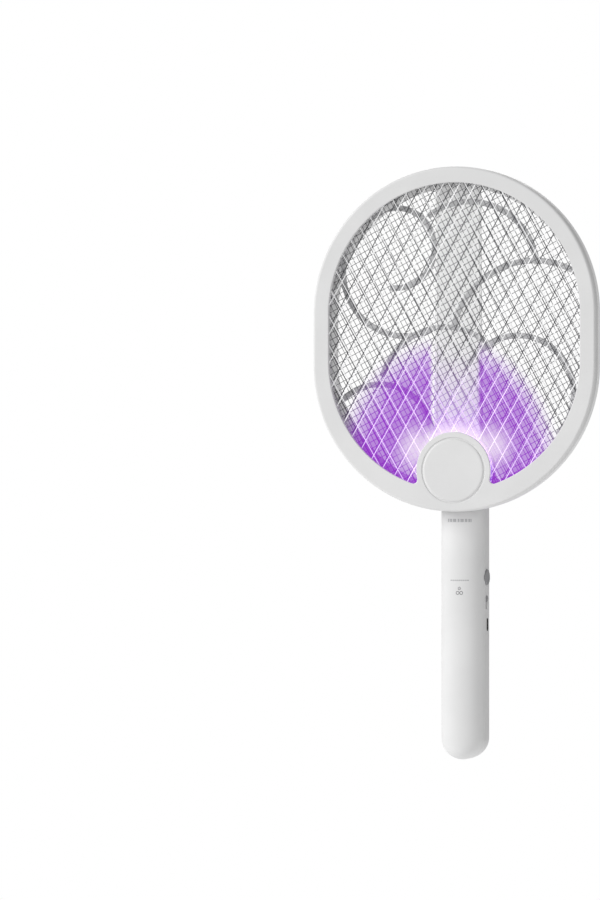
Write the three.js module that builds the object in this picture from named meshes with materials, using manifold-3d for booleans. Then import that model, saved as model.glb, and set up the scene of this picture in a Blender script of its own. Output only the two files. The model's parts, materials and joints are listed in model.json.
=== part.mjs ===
// A folding, rechargeable electric fly swatter, in millimetres.
// +Z runs up the handle to the head, -Y is the front that faces the user, +X is the side with the controls.
// The origin is on the handle's centre line, in the middle of the grip.
// The head is a flat oblong frame that holds three wire nets. Its round boss carries a hollow axle, and the
// handle hangs on that axle behind the head, so the head folds sideways, in its own plane, by a quarter turn.

import * as THREE from "three";
import { mergeVertices } from "three/addons/utils/BufferGeometryUtils.js";
import Module from "manifold-3d";

const wasm = await Module();
wasm.setup();

const DEGREE = Math.PI / 180;
const FIT_GAP = 0.3; // clearance between pieces that only rest on each other
const PAST = 5; // how far a cutting tool runs past the piece that it cuts

// ---- Driving dimensions of the head, measured from the hinge axis --------------------------------------

const PIVOT_Z = 125; // hinge axis above the middle of the grip
const HEAD_RADIUS = 105; // round ends of the oblong outline
const HEAD_STRAIGHT = 37; // straight sides between the round ends
const AXIS_TO_EDGE = 29.5; // hinge axis to the head's lower edge
const HEAD_THICKNESS = 15;
const EDGE_ROUND = 1.8;
const WALL = 2;
const RIM_WIDTH = 11.5;
const REAR_RIM_WIDTH = 14.5;
const LOWER_RIM_EXTRA = 3.4; // the rim is this much wider at the bottom
const COLLAR_RADIUS = 27.6;
const LOBE_FILLET = 3; // where the window's edge turns up beside the collar
const HEAD_SCREW_INSET = 4.6;
const CAP = { radius: 23.2, skirt: 21, proud: 0.4, edge: 0.5, depth: 3 };
const LIGHT_RING = { radius: 25.2, width: 1.6, span: [-19, 199] };
const LED_BOARD = {
  inner: 12,
  outer: 23.4,
  front: -21.6,
  thickness: 1.6,
  posts: [[0, 18], [-14, -10], [14, -10]],
};

// ---- The nets and the spacers between them -------------------------------------------------------------

const NET_INSET = 7.8; // edge of the nets, inside the head's outline
const NET_BORDER = 1.8;
const NET_HOLD = 1.3; // how far the nets reach under the collar's lip
const NET_THICKNESS = 0.9;
const NET_SKIN = 0.2; // closes the gaps between the wires, which stand for much closer ones
const SAFETY_SPACING = 31.2;
const LIVE_SPACING = 28.8;
const SPACER_INSET = 10.5;

// ---- Driving dimensions of the handle ------------------------------------------------------------------

const HANDLE_LENGTH = 208; // hinge axis to the lower end
const HANDLE_HALF_WIDTH = 15.8;
const HANDLE_FRONT = -13; // top of the curved front
const HANDLE_BACK = 13;
const SEAM_Y = -3.5; // where the two shells meet
const BACK_CORNER = 3.5;
const END_ROUND = 9;
const SHELL_WALL = 2;
const HINGE_GAP = 1.2; // handle's front to the head's back

// ---- The hinge, from its axis outwards -----------------------------------------------------------------

const AXLE = { bore: 3.5, radius: 6, flange: 9.5, flangeBack: -23.8, back: 2 };
const AXLE_CLEARANCE = 0.09;
const BUSH = { radius: 8, flange: 10, flangeFront: -6.5, back: -5 };
const NUT = { radius: 10, span: [-2.9, 0.7] };
const TURRET_RADIUS = 14.6;
const PILLAR_RADIUS = 11.5;
const STOP_PLATE = { radius: 13.6, thickness: 1.2 };
const STOP_RADIUS = 10.5; // the stop pin's distance from the axis
const STOP_PIN_RADIUS = 1.2;
const STOP_PIN_BACK = -9.4;
const REAR_CAP = { radius: 12, front: 10.9, skirt: 10.5, depth: 2.7 };

// ---- Controls and electrics, along the handle below the hinge axis -------------------------------------

const BUTTON = { y: 3.2, z: -77, radius: 5.5, travel: 0.9 };
const SLIDER = { y: 2.6, z: -92.5, travel: 5, halfWidth: 1.6, knobHalf: 2.3, plateHalf: 8.2 };
const SOCKET = { y: 5.2, z: -111.1, halfWidth: 1.65, halfLength: 4.5, wall: 0.35, mouth: 15.3 };
const INDICATOR = { z: -84.8, radius: 0.85 };
const MAIN_BOARD = { x: [-12.2, 5.6], y: [3, 4.6], z: [-117, -40] };
const SIDE_BOARD = { x: [6, 7.4], y: [-2.6, 9], z: [-117, -68] };
const TRANSFORMER = {
  coreX: [-8, 4],
  coreZ: [-62.2, -49.8],
  coreHalf: 1.8,
  coreHeight: 8.3,
  windingX: [-6.6, 2.6],
  windingZ: [-61, -51],
  windingHeight: 9.4,
  lift: 0.6,
};
const CAPACITOR = { x: [-10, 2], back: 10.4, z: [-66, -48] };
const CHIP = { x: [-9, -3], height: 1.5, z: [-96, -90] };
const TACT_SWITCH = { half: 3, height: 2.4, stem: 1.6, top: 2.7 };
const SLIDE_SWITCH = { halfWidth: 2.2, halfLength: 6, height: 2.6 };
const TONGUE = { foot: 1.2, setBack: 1.6, halfThickness: 0.35, halfWidth: 3.3 };
const BATTERY_TAB = { halfWidth: 4, halfDepth: 3, thickness: 0.4 };
const BATTERY = { radius: 9.15, length: 65, y: 0.5, topZ: -125 };

// ---- Places worked out from those ----------------------------------------------------------------------

const HEAD_BACK = HANDLE_FRONT - HINGE_GAP;
const HEAD_FRONT = HEAD_BACK - HEAD_THICKNESS;
const LOWER_ARC_Z = HEAD_RADIUS - AXIS_TO_EDGE;
const UPPER_ARC_Z = LOWER_ARC_Z + HEAD_STRAIGHT;
const FRONT_PLATE_BACK = HEAD_FRONT + WALL;
const REAR_PLATE_FRONT = HEAD_BACK - WALL - FIT_GAP;
const PARTING_Y = (HEAD_FRONT + HEAD_BACK) / 2;
const SPACER_THICKNESS = (REAR_PLATE_FRONT - FRONT_PLATE_BACK - 3 * NET_THICKNESS - 6 * FIT_GAP) / 2;
const CONTROL_FACE = HANDLE_HALF_WIDTH;
const CONTROL_WALL = HANDLE_HALF_WIDTH - SHELL_WALL;
const SIDE_FACE = SIDE_BOARD.x[1] + FIT_GAP; // where the parts on the side board start
const TACT_TOP = SIDE_FACE + TACT_SWITCH.top;

// The layers between the plates, front to back: [front, back] of each.
const LAYERS = [];
for (let layer = 0, front = FRONT_PLATE_BACK + FIT_GAP; layer < 5; layer++) {
  const thickness = layer % 2 ? SPACER_THICKNESS : NET_THICKNESS;
  LAYERS.push([front, front + thickness]);
  front += thickness + FIT_GAP;
}
const [FRONT_NET, FRONT_SPACER, MIDDLE_NET, REAR_SPACER, REAR_NET] = LAYERS;

// ---- Solids ---------------------------------------------------------------------------------------------

const CHORD_ERROR = 0.25; // how far a chord may stray from its arc
const FINE_ERROR = 0.1; // the same, for the head's outline and the shells
const LEAST_SIDES = 8;
const AXLE_SIDES = 40; // round enough for a running fit

// Chords for a turn of the given angle on a circle.
function chords(radius, angle, error = CHORD_ERROR) {
  const step = 2 * Math.acos(1 - Math.min(error / radius, 0.5));
  return Math.ceil(Math.abs(angle) / step);
}

const sidesOf = (radius) => Math.max(LEAST_SIDES, 2 * Math.ceil(chords(radius, Math.PI)));

// A closed geometry as a manifold-3d solid.
function solid(geometry) {
  const bare = geometry.clone();
  bare.deleteAttribute("normal");
  bare.deleteAttribute("uv");
  const merged = mergeVertices(bare, 1e-4);
  return new wasm.Manifold(
    new wasm.Mesh({
      numProp: 3,
      vertProperties: new Float32Array(merged.attributes.position.array),
      triVerts: new Uint32Array(merged.index.array),
    }),
  );
}

// A manifold-3d solid as a flat-shaded geometry.
function geometryOf(shape) {
  const mesh = shape.getMesh();
  const geometry = new THREE.BufferGeometry();
  geometry.setAttribute("position", new THREE.BufferAttribute(mesh.vertProperties, 3));
  geometry.setIndex(new THREE.BufferAttribute(mesh.triVerts, 1));
  const flat = geometry.toNonIndexed();
  flat.computeVertexNormals();
  return flat;
}

// An outline drawn in X and Z, as a plate that reaches from front to back along Y.
function plate(outline, [front, back], edge = 0) {
  const options = { depth: back - front - 2 * edge, bevelEnabled: edge > 0, bevelSegments: 2 };
  Object.assign(options, { bevelThickness: edge, bevelSize: edge, bevelOffset: -edge });
  const geometry = new THREE.ExtrudeGeometry(outline, options);
  return solid(geometry.rotateX(Math.PI / 2).translate(0, back - edge, 0));
}

// An outline drawn in X and Y, as a bar that reaches from low to high along Z.
function bar(outline, [low, high]) {
  const geometry = new THREE.ExtrudeGeometry(outline, { depth: high - low, bevelEnabled: false });
  return solid(geometry.translate(0, 0, low));
}

// An outline drawn in Y and Z, as a block that reaches from left to right along X.
function sideBlock(outline, [left, right]) {
  const geometry = new THREE.ExtrudeGeometry(outline, { depth: right - left, bevelEnabled: false });
  const turn = new THREE.Matrix4().set(0, 0, 1, left, 1, 0, 0, 0, 0, 1, 0, 0, 0, 0, 0, 1);
  return solid(geometry.applyMatrix4(turn));
}

function box([x0, x1], [y0, y1], [z0, z1]) {
  const geometry = new THREE.BoxGeometry(x1 - x0, y1 - y0, z1 - z0);
  return solid(geometry.translate((x0 + x1) / 2, (y0 + y1) / 2, (z0 + z1) / 2));
}

// A round rod along Y, with its axis at x and z.
function rodY(radius, [front, back], x = 0, z = 0, sides = sidesOf(radius)) {
  const geometry = new THREE.CylinderGeometry(radius, radius, back - front, sides);
  return solid(geometry.translate(x, (front + back) / 2, z));
}

// A round rod along X, with its axis at y and z.
function rodX(radius, [left, right], y, z, sides = sidesOf(radius)) {
  const geometry = new THREE.CylinderGeometry(radius, radius, right - left, sides);
  return solid(geometry.rotateZ(Math.PI / 2).translate((left + right) / 2, y, z));
}

function tubeY(outer, inner, span, sides = sidesOf(outer)) {
  const bore = rodY(inner, [span[0] - PAST, span[1] + PAST], 0, 0, sides);
  return rodY(outer, span, 0, 0, sides).subtract(bore);
}

// A round wire or lead along a smooth curve through points.
function wire(points, radius, steps) {
  const path = new THREE.CatmullRomCurve3(points.map((point) => new THREE.Vector3(...point)));
  const section = outlineOf(arc(0, 0, radius, 0, 2 * Math.PI, radius / 6));
  return solid(new THREE.ExtrudeGeometry(section, { extrudePath: path, steps }));
}

const union = (...shapes) => shapes.reduce((sum, next) => sum.add(next));

// ---- Outlines -------------------------------------------------------------------------------------------

// Points along an arc, from one angle to another.
function arc(x, y, radius, from, to, error = CHORD_ERROR) {
  const curve = new THREE.EllipseCurve(x, y, radius, radius, from, to, to < from);
  return curve.getPoints(chords(radius, to - from, error));
}

// A closed outline through runs of points, without the points that two runs share.
function outlineOf(...runs) {
  const points = runs.flat();
  const last = (i) => points[(i + points.length - 1) % points.length];
  return new THREE.Shape(points.filter((point, i) => point.distanceTo(last(i)) > 1e-6));
}

// The head's oblong outline, moved inwards by inset; lift raises the lower round end.
function oblong(inset, lift = 0, error = CHORD_ERROR) {
  const radius = HEAD_RADIUS - inset;
  return outlineOf(
    arc(0, UPPER_ARC_Z, radius, 0, Math.PI, error),
    arc(0, LOWER_ARC_Z + lift, radius, Math.PI, 2 * Math.PI, error),
  );
}

// The window: the oblong moved inwards, less a round collar, with a fillet in each of the two lobes.
function windowOutline(inset, collar, error = CHORD_ERROR) {
  const radius = HEAD_RADIUS - inset;
  const lowerZ = LOWER_ARC_Z + LOWER_RIM_EXTRA;
  const near = collar + LOBE_FILLET;
  const far = radius - LOBE_FILLET;
  const filletZ = (near ** 2 - far ** 2 + lowerZ ** 2) / (2 * lowerZ);
  const filletX = Math.sqrt(near ** 2 - filletZ ** 2);
  const rimAngle = Math.atan2(filletZ - lowerZ, filletX);
  const collarAngle = Math.atan2(filletZ, filletX);
  return outlineOf(
    arc(0, UPPER_ARC_Z, radius, 0, Math.PI, error),
    arc(0, lowerZ, radius, Math.PI, Math.PI - rimAngle, error),
    arc(-filletX, filletZ, LOBE_FILLET, Math.PI - rimAngle, 2 * Math.PI - collarAngle),
    arc(0, 0, collar, Math.PI - collarAngle, collarAngle, error),
    arc(filletX, filletZ, LOBE_FILLET, Math.PI + collarAngle, 2 * Math.PI + rimAngle),
    arc(0, lowerZ, radius, rimAngle, 0, error),
  );
}

// A band of even width along an arc, between two angles in degrees.
function arcBand([x, z], radius, [from, to], width) {
  return outlineOf(
    arc(x, z, radius + width / 2, from * DEGREE, to * DEGREE),
    arc(x, z, radius - width / 2, to * DEGREE, from * DEGREE),
  );
}

// The handle's section: a crowned front on flat sides, and a flat back with round corners.
function handleSection(inset) {
  const half = HANDLE_HALF_WIDTH - inset;
  const corner = BACK_CORNER - inset / 2;
  const back = HANDLE_BACK - inset;
  const crown = SEAM_Y - HANDLE_FRONT - inset;
  const crownPoints = chords(half, Math.PI, FINE_ERROR);
  return outlineOf(
    arc(half - corner, back - corner, corner, 0, Math.PI / 2),
    arc(corner - half, back - corner, corner, Math.PI / 2, Math.PI),
    new THREE.EllipseCurve(0, SEAM_Y, half, crown, Math.PI, 2 * Math.PI).getPoints(crownPoints),
  );
}

// The handle seen from the front: a capsule with the hinge axis at the centre of its upper end.
function handleFrontOutline(inset) {
  const half = HANDLE_HALF_WIDTH - inset;
  return outlineOf(
    arc(0, 0, half, 0, Math.PI),
    arc(0, HANDLE_HALF_WIDTH - HANDLE_LENGTH, half, Math.PI, 2 * Math.PI),
  );
}

// The handle seen from the side: both corners of each end are round. Drawn in Y and Z.
function handleSideOutline(inset) {
  const round = END_ROUND - inset;
  const front = HANDLE_FRONT + inset + round;
  const back = HANDLE_BACK - inset - round;
  const low = -HANDLE_LENGTH + inset + round;
  const high = HANDLE_HALF_WIDTH - inset - round;
  return outlineOf(
    arc(back, high, round, 0, Math.PI / 2),
    arc(front, high, round, Math.PI / 2, Math.PI),
    arc(front, low, round, Math.PI, 1.5 * Math.PI),
    arc(back, low, round, 1.5 * Math.PI, 2 * Math.PI),
  );
}

// A slot with round ends along Z, drawn in Y and Z.
function slotOutline(y, z, halfWidth, halfLength) {
  return outlineOf(
    arc(y, z + halfLength - halfWidth, halfWidth, 0, Math.PI, FINE_ERROR),
    arc(y, z - halfLength + halfWidth, halfWidth, Math.PI, 2 * Math.PI, FINE_ERROR),
  );
}

// ---- The head -------------------------------------------------------------------------------------------

// The screws that hold the rear frame to the front one: [arc centre's height, angle].
const HEAD_SCREWS = [
  ...[35, 90, 145].map((angle) => [UPPER_ARC_Z, angle]),
  ...[205, 250, 290, 335].map((angle) => [LOWER_ARC_Z, angle]),
].map(([arcZ, angle]) => {
  const radius = HEAD_RADIUS - HEAD_SCREW_INSET;
  return [radius * Math.cos(angle * DEGREE), arcZ + radius * Math.sin(angle * DEGREE)];
});
const HEAD_SCREW = { post: 2.5, hole: 1.3, shank: 1, head: 2.1, seat: 2.4, depth: 1.5, length: 9.8 };

const ANY_X = [-HEAD_RADIUS - PAST, HEAD_RADIUS + PAST];
const ANY_Y = [HEAD_FRONT - PAST, HANDLE_BACK + PAST];
const ANY_Z = [-HANDLE_LENGTH - PAST, UPPER_ARC_Z + HEAD_RADIUS + PAST];

// The whole head's outer body, from which both frames are cut.
function headBlock() {
  return plate(oblong(0, 0, FINE_ERROR), [HEAD_FRONT, HEAD_BACK], EDGE_ROUND);
}

// A round rod at each of a list of places.
function rodsAt(places, radius, span) {
  return union(...places.map(([x, z]) => rodY(radius, span, x, z)));
}

function frontFrame() {
  const back = PARTING_Y - FIT_GAP / 2;
  const rim = headBlock()
    .subtract(box(ANY_X, [back, ANY_Y[1]], ANY_Z))
    .subtract(plate(oblong(WALL), [FRONT_PLATE_BACK, ANY_Y[1]]))
    .subtract(plate(windowOutline(RIM_WIDTH, COLLAR_RADIUS, FINE_ERROR), ANY_Y))
    .subtract(rodY(CAP.radius + FIT_GAP, ANY_Y));
  const capLedge = rodY(CAP.radius + 2 * FIT_GAP + 0.3, [FRONT_PLATE_BACK - FIT_GAP, FRONT_PLATE_BACK + 1])
    .subtract(rodY(CAP.skirt + FIT_GAP, ANY_Y));
  const posts = rodsAt(HEAD_SCREWS, HEAD_SCREW.post, [FRONT_PLATE_BACK - WALL / 2, back]);
  return union(rim, capLedge, posts)
    .subtract(rodsAt(HEAD_SCREWS, HEAD_SCREW.hole, [FRONT_PLATE_BACK + 0.8, ANY_Y[1]]));
}

// The guard ribs behind the nets: [[centre x, centre z], radius, [from, to] in degrees].
const GUARD_RIBS = [
  [[-46.5, 160], 28.8, [-99, 118]],
  [[-40, 143], 46.4, [110, 294]],
  [[-10, 54], 48.8, [44, 164]],
  [[-59, 22], 40, [-2, 134]],
  [[44, 55], 41.5, [-44, 152]],
  [[56, 89], 61, [44, 166]],
  [[8, 142], 50.7, [6, 127]],
];
const RIB_WIDTH = 3.6;
const SPINE = { lowHalf: 18, highHalf: 16.8, topZ: UPPER_ARC_Z + HEAD_RADIUS - WALL - 1 };

// The broad strip up the middle of the guard.
function spineOutline() {
  const { lowHalf, highHalf, topZ } = SPINE;
  const corners = [[-lowHalf, 0], [lowHalf, 0], [highHalf, topZ], [-highHalf, topZ]];
  return new THREE.Shape(corners.map(([x, z]) => new THREE.Vector2(x, z)));
}

// The head's back: rim, spine, guard ribs, and the hollow pillar that the hinge axle goes through.
function rearFrame() {
  const front = PARTING_Y + FIT_GAP / 2;
  const face = [REAR_PLATE_FRONT, HEAD_BACK];
  const rim = headBlock()
    .subtract(box(ANY_X, [ANY_Y[0], front], ANY_Z))
    .subtract(plate(oblong(WALL), [ANY_Y[0], REAR_PLATE_FRONT]))
    .subtract(plate(windowOutline(REAR_RIM_WIDTH, COLLAR_RADIUS), ANY_Y));
  const ribs = GUARD_RIBS.map(([centre, radius, span]) =>
    plate(arcBand(centre, radius, span, RIB_WIDTH), face));
  const guard = union(...ribs, plate(spineOutline(), face)).intersect(plate(oblong(WALL + 0.5), face));
  const pillar = rodY(PILLAR_RADIUS, [AXLE.flangeBack + FIT_GAP, HEAD_BACK]);
  const posts = rodsAt(HEAD_SCREWS, HEAD_SCREW.post, [front, HEAD_BACK - HEAD_SCREW.depth / 2]);
  const postFront = LED_BOARD.front + LED_BOARD.thickness + FIT_GAP;
  const boardPosts = rodsAt(LED_BOARD.posts, 2, [postFront, face[0] + 1]);
  return union(rim, guard, pillar, posts, boardPosts)
    .subtract(rodY(AXLE.radius + FIT_GAP, ANY_Y))
    .subtract(rodY(STOP_PLATE.radius + FIT_GAP, [HEAD_BACK - STOP_PLATE.thickness - 0.5, ANY_Y[1]]))
    .subtract(rodsAt(HEAD_SCREWS, HEAD_SCREW.hole + 0.1, ANY_Y))
    .subtract(rodsAt(HEAD_SCREWS, HEAD_SCREW.seat, [HEAD_BACK - HEAD_SCREW.depth, ANY_Y[1]]));
}

// A steel disc in the head's back. The handle's stop pin runs in its quarter-circle slot.
function stopPlate() {
  const back = HEAD_BACK - FIT_GAP;
  const halfSlot = STOP_PIN_RADIUS + FIT_GAP;
  return tubeY(STOP_PLATE.radius, AXLE.radius + FIT_GAP, [back - STOP_PLATE.thickness, back])
    .subtract(plate(arcBand([0, 0], STOP_RADIUS, [-90, 0], 2 * halfSlot), ANY_Y))
    .subtract(rodY(halfSlot, ANY_Y, 0, -STOP_RADIUS))
    .subtract(rodY(halfSlot, ANY_Y, STOP_RADIUS, 0));
}

// A net: a border band, two sets of straight wires at even spacing, and a skin over one face of them.
function net([front, back], spacing, angles, skinAtBack = true) {
  const outline = windowOutline(NET_INSET, COLLAR_RADIUS - NET_HOLD);
  const skin = plate(outline, skinAtBack ? [back - NET_SKIN, back] : [front, front + NET_SKIN]);
  const span = skinAtBack ? [front, back - NET_SKIN / 2] : [front + NET_SKIN / 2, back];
  const sheet = plate(outline, span);
  const window = plate(windowOutline(NET_INSET + NET_BORDER, COLLAR_RADIUS + FIT_GAP), ANY_Y);
  const middleY = (span[0] + span[1]) / 2;
  const middleZ = (LOWER_ARC_Z + UPPER_ARC_Z) / 2;
  const reach = HEAD_RADIUS + HEAD_STRAIGHT;
  const count = Math.floor((2 * reach) / spacing);
  const offsets = Array.from({ length: count }, (_, i) => (i + 0.5) * spacing - reach);
  const strands = angles.flatMap((angle) => offsets.map((offset) => {
    const strand = new THREE.BoxGeometry(2 * reach, NET_THICKNESS, NET_THICKNESS);
    strand.translate(0, 0, offset).rotateY(-angle * DEGREE);
    return solid(strand.translate(0, middleY, middleZ));
  }));
  return sheet.subtract(window).add(wasm.Manifold.union(strands).intersect(sheet)).add(skin);
}

// An insulating ring that keeps two nets apart, open where the boss is.
function netSpacer(span) {
  return plate(oblong(NET_INSET, LOWER_RIM_EXTRA), span)
    .subtract(plate(oblong(SPACER_INSET, LOWER_RIM_EXTRA), ANY_Y))
    .subtract(rodY(COLLAR_RADIUS + FIT_GAP, ANY_Y));
}

// The round cover of the boss, with a skirt that plugs into the front frame's ledge.
function bossCap() {
  const disc = outlineOf(arc(0, 0, CAP.radius, 0, 2 * Math.PI));
  const back = FRONT_PLATE_BACK - 2 * FIT_GAP;
  const skirt = tubeY(CAP.skirt, CAP.skirt - WALL, [back - WALL / 2, back + CAP.depth]);
  return union(plate(disc, [HEAD_FRONT - CAP.proud, back], CAP.edge), skirt);
}

// The clear wall round the boss that the lamps shine through.
function lightRing() {
  const { radius, span, width } = LIGHT_RING;
  return plate(arcBand([0, 0], radius, span, width), [FRONT_NET[0], REAR_NET[1]]);
}

function ledBoard() {
  const { inner, outer, front, thickness } = LED_BOARD;
  return tubeY(outer, inner, [front, front + thickness]);
}

// One lamp on the board's front, with its lens to the light ring.
function led() {
  const base = LED_BOARD.front - FIT_GAP;
  const body = box([20.4, 22.4], [base - 2.4, base], [-1.6, 1.6]);
  return union(body, rodX(1, [22, 23.3], base - 1.2, 0));
}
const LED_ANGLES = [-4, 33, 70, 110, 147, 184];

// A lead from the lamps' board out to a net, beside one end of the light ring.
function netLead(netLayer, angle) {
  const netY = (netLayer[0] + netLayer[1]) / 2;
  const onFront = netY < LED_BOARD.front;
  const boardY = onFront ? LED_BOARD.front - 1 : LED_BOARD.front + LED_BOARD.thickness + 1;
  const path = [[LED_BOARD.outer - 1.6, boardY], [LED_BOARD.outer + 0.6, (boardY + netY) / 2], [25.8, netY]];
  const points = path.map(([r, y]) => [r * Math.cos(angle * DEGREE), y, r * Math.sin(angle * DEGREE)]);
  return wire(points, 0.45, 8);
}

// A flange in the boss, and a tube through the head's pillar and the handle's bush.
function hingeAxle() {
  const flange = rodY(AXLE.flange, [AXLE.flangeBack - 1.6, AXLE.flangeBack]);
  const tube = rodY(AXLE.radius, [AXLE.flangeBack - 1, AXLE.back], 0, 0, AXLE_SIDES);
  return union(flange, tube).subtract(rodY(AXLE.bore, ANY_Y));
}

function hingeNut() {
  const geometry = new THREE.CylinderGeometry(NUT.radius, NUT.radius, NUT.span[1] - NUT.span[0], 6);
  geometry.translate(0, (NUT.span[0] + NUT.span[1]) / 2, 0);
  return solid(geometry).subtract(rodY(AXLE.radius + 0.2, ANY_Y, 0, 0, AXLE_SIDES));
}

// A cross-headed screw along Y, with the face of its head just under y = 0.
function screw({ head, depth, shank, length }, crossWidth) {
  const reach = 0.7 * head;
  const cross = union(
    box([-reach, reach], [-0.8, PAST], [-crossWidth / 2, crossWidth / 2]),
    box([-crossWidth / 2, crossWidth / 2], [-0.8, PAST], [-reach, reach]),
  );
  return union(rodY(head, [0.2 - depth, -0.2]), rodY(shank, [-length, -depth / 2])).subtract(cross);
}

// ---- The handle -----------------------------------------------------------------------------------------

const HANDLE_SCREWS = [[-9.3, -28], [9.3, -28], [-10.3, -121.5], [0, -199]];
const HANDLE_SCREW = { post: 3, hole: 1.7, shank: 1.4, head: 2.7, seat: 3, depth: 1.9, length: 20 };
const FRONT_EDGE = SEAM_Y - FIT_GAP / 2;
const REAR_EDGE = SEAM_Y + FIT_GAP / 2;

// The handle's outer body, or with an inset the room inside its walls.
function handleBody(inset) {
  return bar(handleSection(inset), ANY_Z)
    .intersect(plate(handleFrontOutline(inset), ANY_Y))
    .intersect(sideBlock(handleSideOutline(inset), ANY_X));
}

// The posts that the handle's screws go through, inside the handle.
function handlePosts(span) {
  return rodsAt(HANDLE_SCREWS, HANDLE_SCREW.post, span).intersect(handleBody(SHELL_WALL / 2));
}

// The curved front, with the round turret that meets the head.
function handleFrontShell() {
  const shell = handleBody(0)
    .subtract(handleBody(SHELL_WALL))
    .intersect(box(ANY_X, [ANY_Y[0], FRONT_EDGE], ANY_Z));
  const turret = rodY(TURRET_RADIUS, [HEAD_BACK + FIT_GAP, BUSH.flangeFront - FIT_GAP]);
  return union(shell, turret, handlePosts([ANY_Y[0], FRONT_EDGE]))
    .subtract(rodY(BUSH.radius + FIT_GAP, ANY_Y))
    .subtract(rodY(STOP_PIN_RADIUS + 0.2, [ANY_Y[0], STOP_PIN_BACK + 0.2], 0, -STOP_RADIUS))
    .subtract(rodsAt(HANDLE_SCREWS, HANDLE_SCREW.hole, [HANDLE_FRONT + 2 * SHELL_WALL, ANY_Y[1]]))
    .subtract(rodY(INDICATOR.radius + 0.25, [ANY_Y[0], FRONT_EDGE], 0, INDICATOR.z));
}

// The flat back and sides, with the openings for the controls and the hinge's cap.
function handleRearShell() {
  const shell = handleBody(0)
    .subtract(handleBody(SHELL_WALL))
    .intersect(box(ANY_X, [REAR_EDGE, ANY_Y[1]], ANY_Z));
  const side = [CONTROL_WALL - 1, ANY_X[1]];
  const slotHalf = SLIDER.knobHalf + SLIDER.travel / 2 + FIT_GAP;
  const slot = slotOutline(SLIDER.y, SLIDER.z - SLIDER.travel / 2, SLIDER.halfWidth + FIT_GAP, slotHalf);
  const mouth = slotOutline(SOCKET.y, SOCKET.z, SOCKET.halfWidth + FIT_GAP, SOCKET.halfLength + FIT_GAP);
  const capSeat = rodY(REAR_CAP.radius + WALL, [REAR_CAP.front - WALL, HANDLE_BACK - SHELL_WALL / 2]);
  return union(shell, handlePosts([REAR_EDGE, ANY_Y[1]]), capSeat)
    .subtract(rodX(BUTTON.radius + 0.25, side, BUTTON.y, BUTTON.z))
    .subtract(sideBlock(slot, side))
    .subtract(sideBlock(mouth, side))
    .subtract(rodY(REAR_CAP.skirt + FIT_GAP, ANY_Y))
    .subtract(rodY(REAR_CAP.radius + FIT_GAP, [REAR_CAP.front - FIT_GAP, ANY_Y[1]]))
    .subtract(rodsAt(HANDLE_SCREWS, HANDLE_SCREW.hole, ANY_Y))
    .subtract(rodsAt(HANDLE_SCREWS, HANDLE_SCREW.seat, [HANDLE_BACK - HANDLE_SCREW.depth, ANY_Y[1]]));
}

// The flanged plastic bush that the axle turns in.
function hingeBush() {
  const tube = rodY(BUSH.radius, [HEAD_BACK + 2 * FIT_GAP, BUSH.back]);
  return union(tube, rodY(BUSH.flange, [BUSH.flangeFront, BUSH.back]))
    .subtract(rodY(AXLE.radius + AXLE_CLEARANCE, ANY_Y, 0, 0, AXLE_SIDES));
}

const waveWasher = () => tubeY(9.6, AXLE.radius + 0.4, [BUSH.back + FIT_GAP, NUT.span[0] - FIT_GAP]);
function stopPin() {
  return rodY(STOP_PIN_RADIUS, [HEAD_BACK - STOP_PLATE.thickness, STOP_PIN_BACK], 0, -STOP_RADIUS);
}

// The round cover over the hinge, in the handle's back.
function hingeRearCap() {
  const disc = outlineOf(arc(0, 0, REAR_CAP.radius, 0, 2 * Math.PI));
  const skirtSpan = [REAR_CAP.front - REAR_CAP.depth, REAR_CAP.front + 0.5];
  const skirt = tubeY(REAR_CAP.skirt, REAR_CAP.skirt - 1.5, skirtSpan);
  return union(plate(disc, [REAR_CAP.front, HANDLE_BACK - 0.2], 0.4), skirt);
}

// The lead from the main board, through the axle's bore, to the lamps' board.
function hingeLead() {
  const points = [
    [0, AXLE.flangeBack - 2.4, 0],
    [0, -12, 0],
    [0, 1.6, 0],
    [0, 4, -2],
    [0, 4.8, -6],
    [-1, 5, -16],
    [-3, 4.6, -28],
    [-3, 3.8, MAIN_BOARD.z[1] + 1.6],
  ];
  return wire(points, 1.3, 20);
}

// A circuit board, or any other plain block.
const block = ({ x, y, z }) => box(x, y, z);

// Two ferrite blocks with the winding between them.
function transformer() {
  const { coreX, coreZ, coreHalf, coreHeight, windingX, windingZ, windingHeight, lift } = TRANSFORMER;
  const back = MAIN_BOARD.y[0] - FIT_GAP;
  const core = coreZ.map((z) => box(coreX, [back - coreHeight, back], [z - coreHalf, z + coreHalf]));
  return union(...core, box(windingX, [back - windingHeight, back - lift], windingZ));
}

const capacitor = () => box(CAPACITOR.x, [MAIN_BOARD.y[1] + FIT_GAP, CAPACITOR.back], CAPACITOR.z);

function controlChip() {
  const back = MAIN_BOARD.y[0] - FIT_GAP;
  return box(CHIP.x, [back - CHIP.height, back], CHIP.z);
}

// The press switch behind the button.
function tactSwitch() {
  const { half, height, stem } = TACT_SWITCH;
  const across = [BUTTON.y - half, BUTTON.y + half];
  const along = [BUTTON.z - half, BUTTON.z + half];
  const body = box([SIDE_FACE, SIDE_FACE + height], across, along);
  return union(body, rodX(stem, [SIDE_FACE + height / 2, TACT_TOP], BUTTON.y, BUTTON.z));
}

function slideSwitch() {
  const { halfWidth, halfLength, height } = SLIDE_SWITCH;
  const z = SLIDER.z - SLIDER.travel / 2;
  const across = [SLIDER.y - halfWidth, SLIDER.y + halfWidth];
  return box([SIDE_FACE, SIDE_FACE + height], across, [z - halfLength, z + halfLength]);
}

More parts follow.
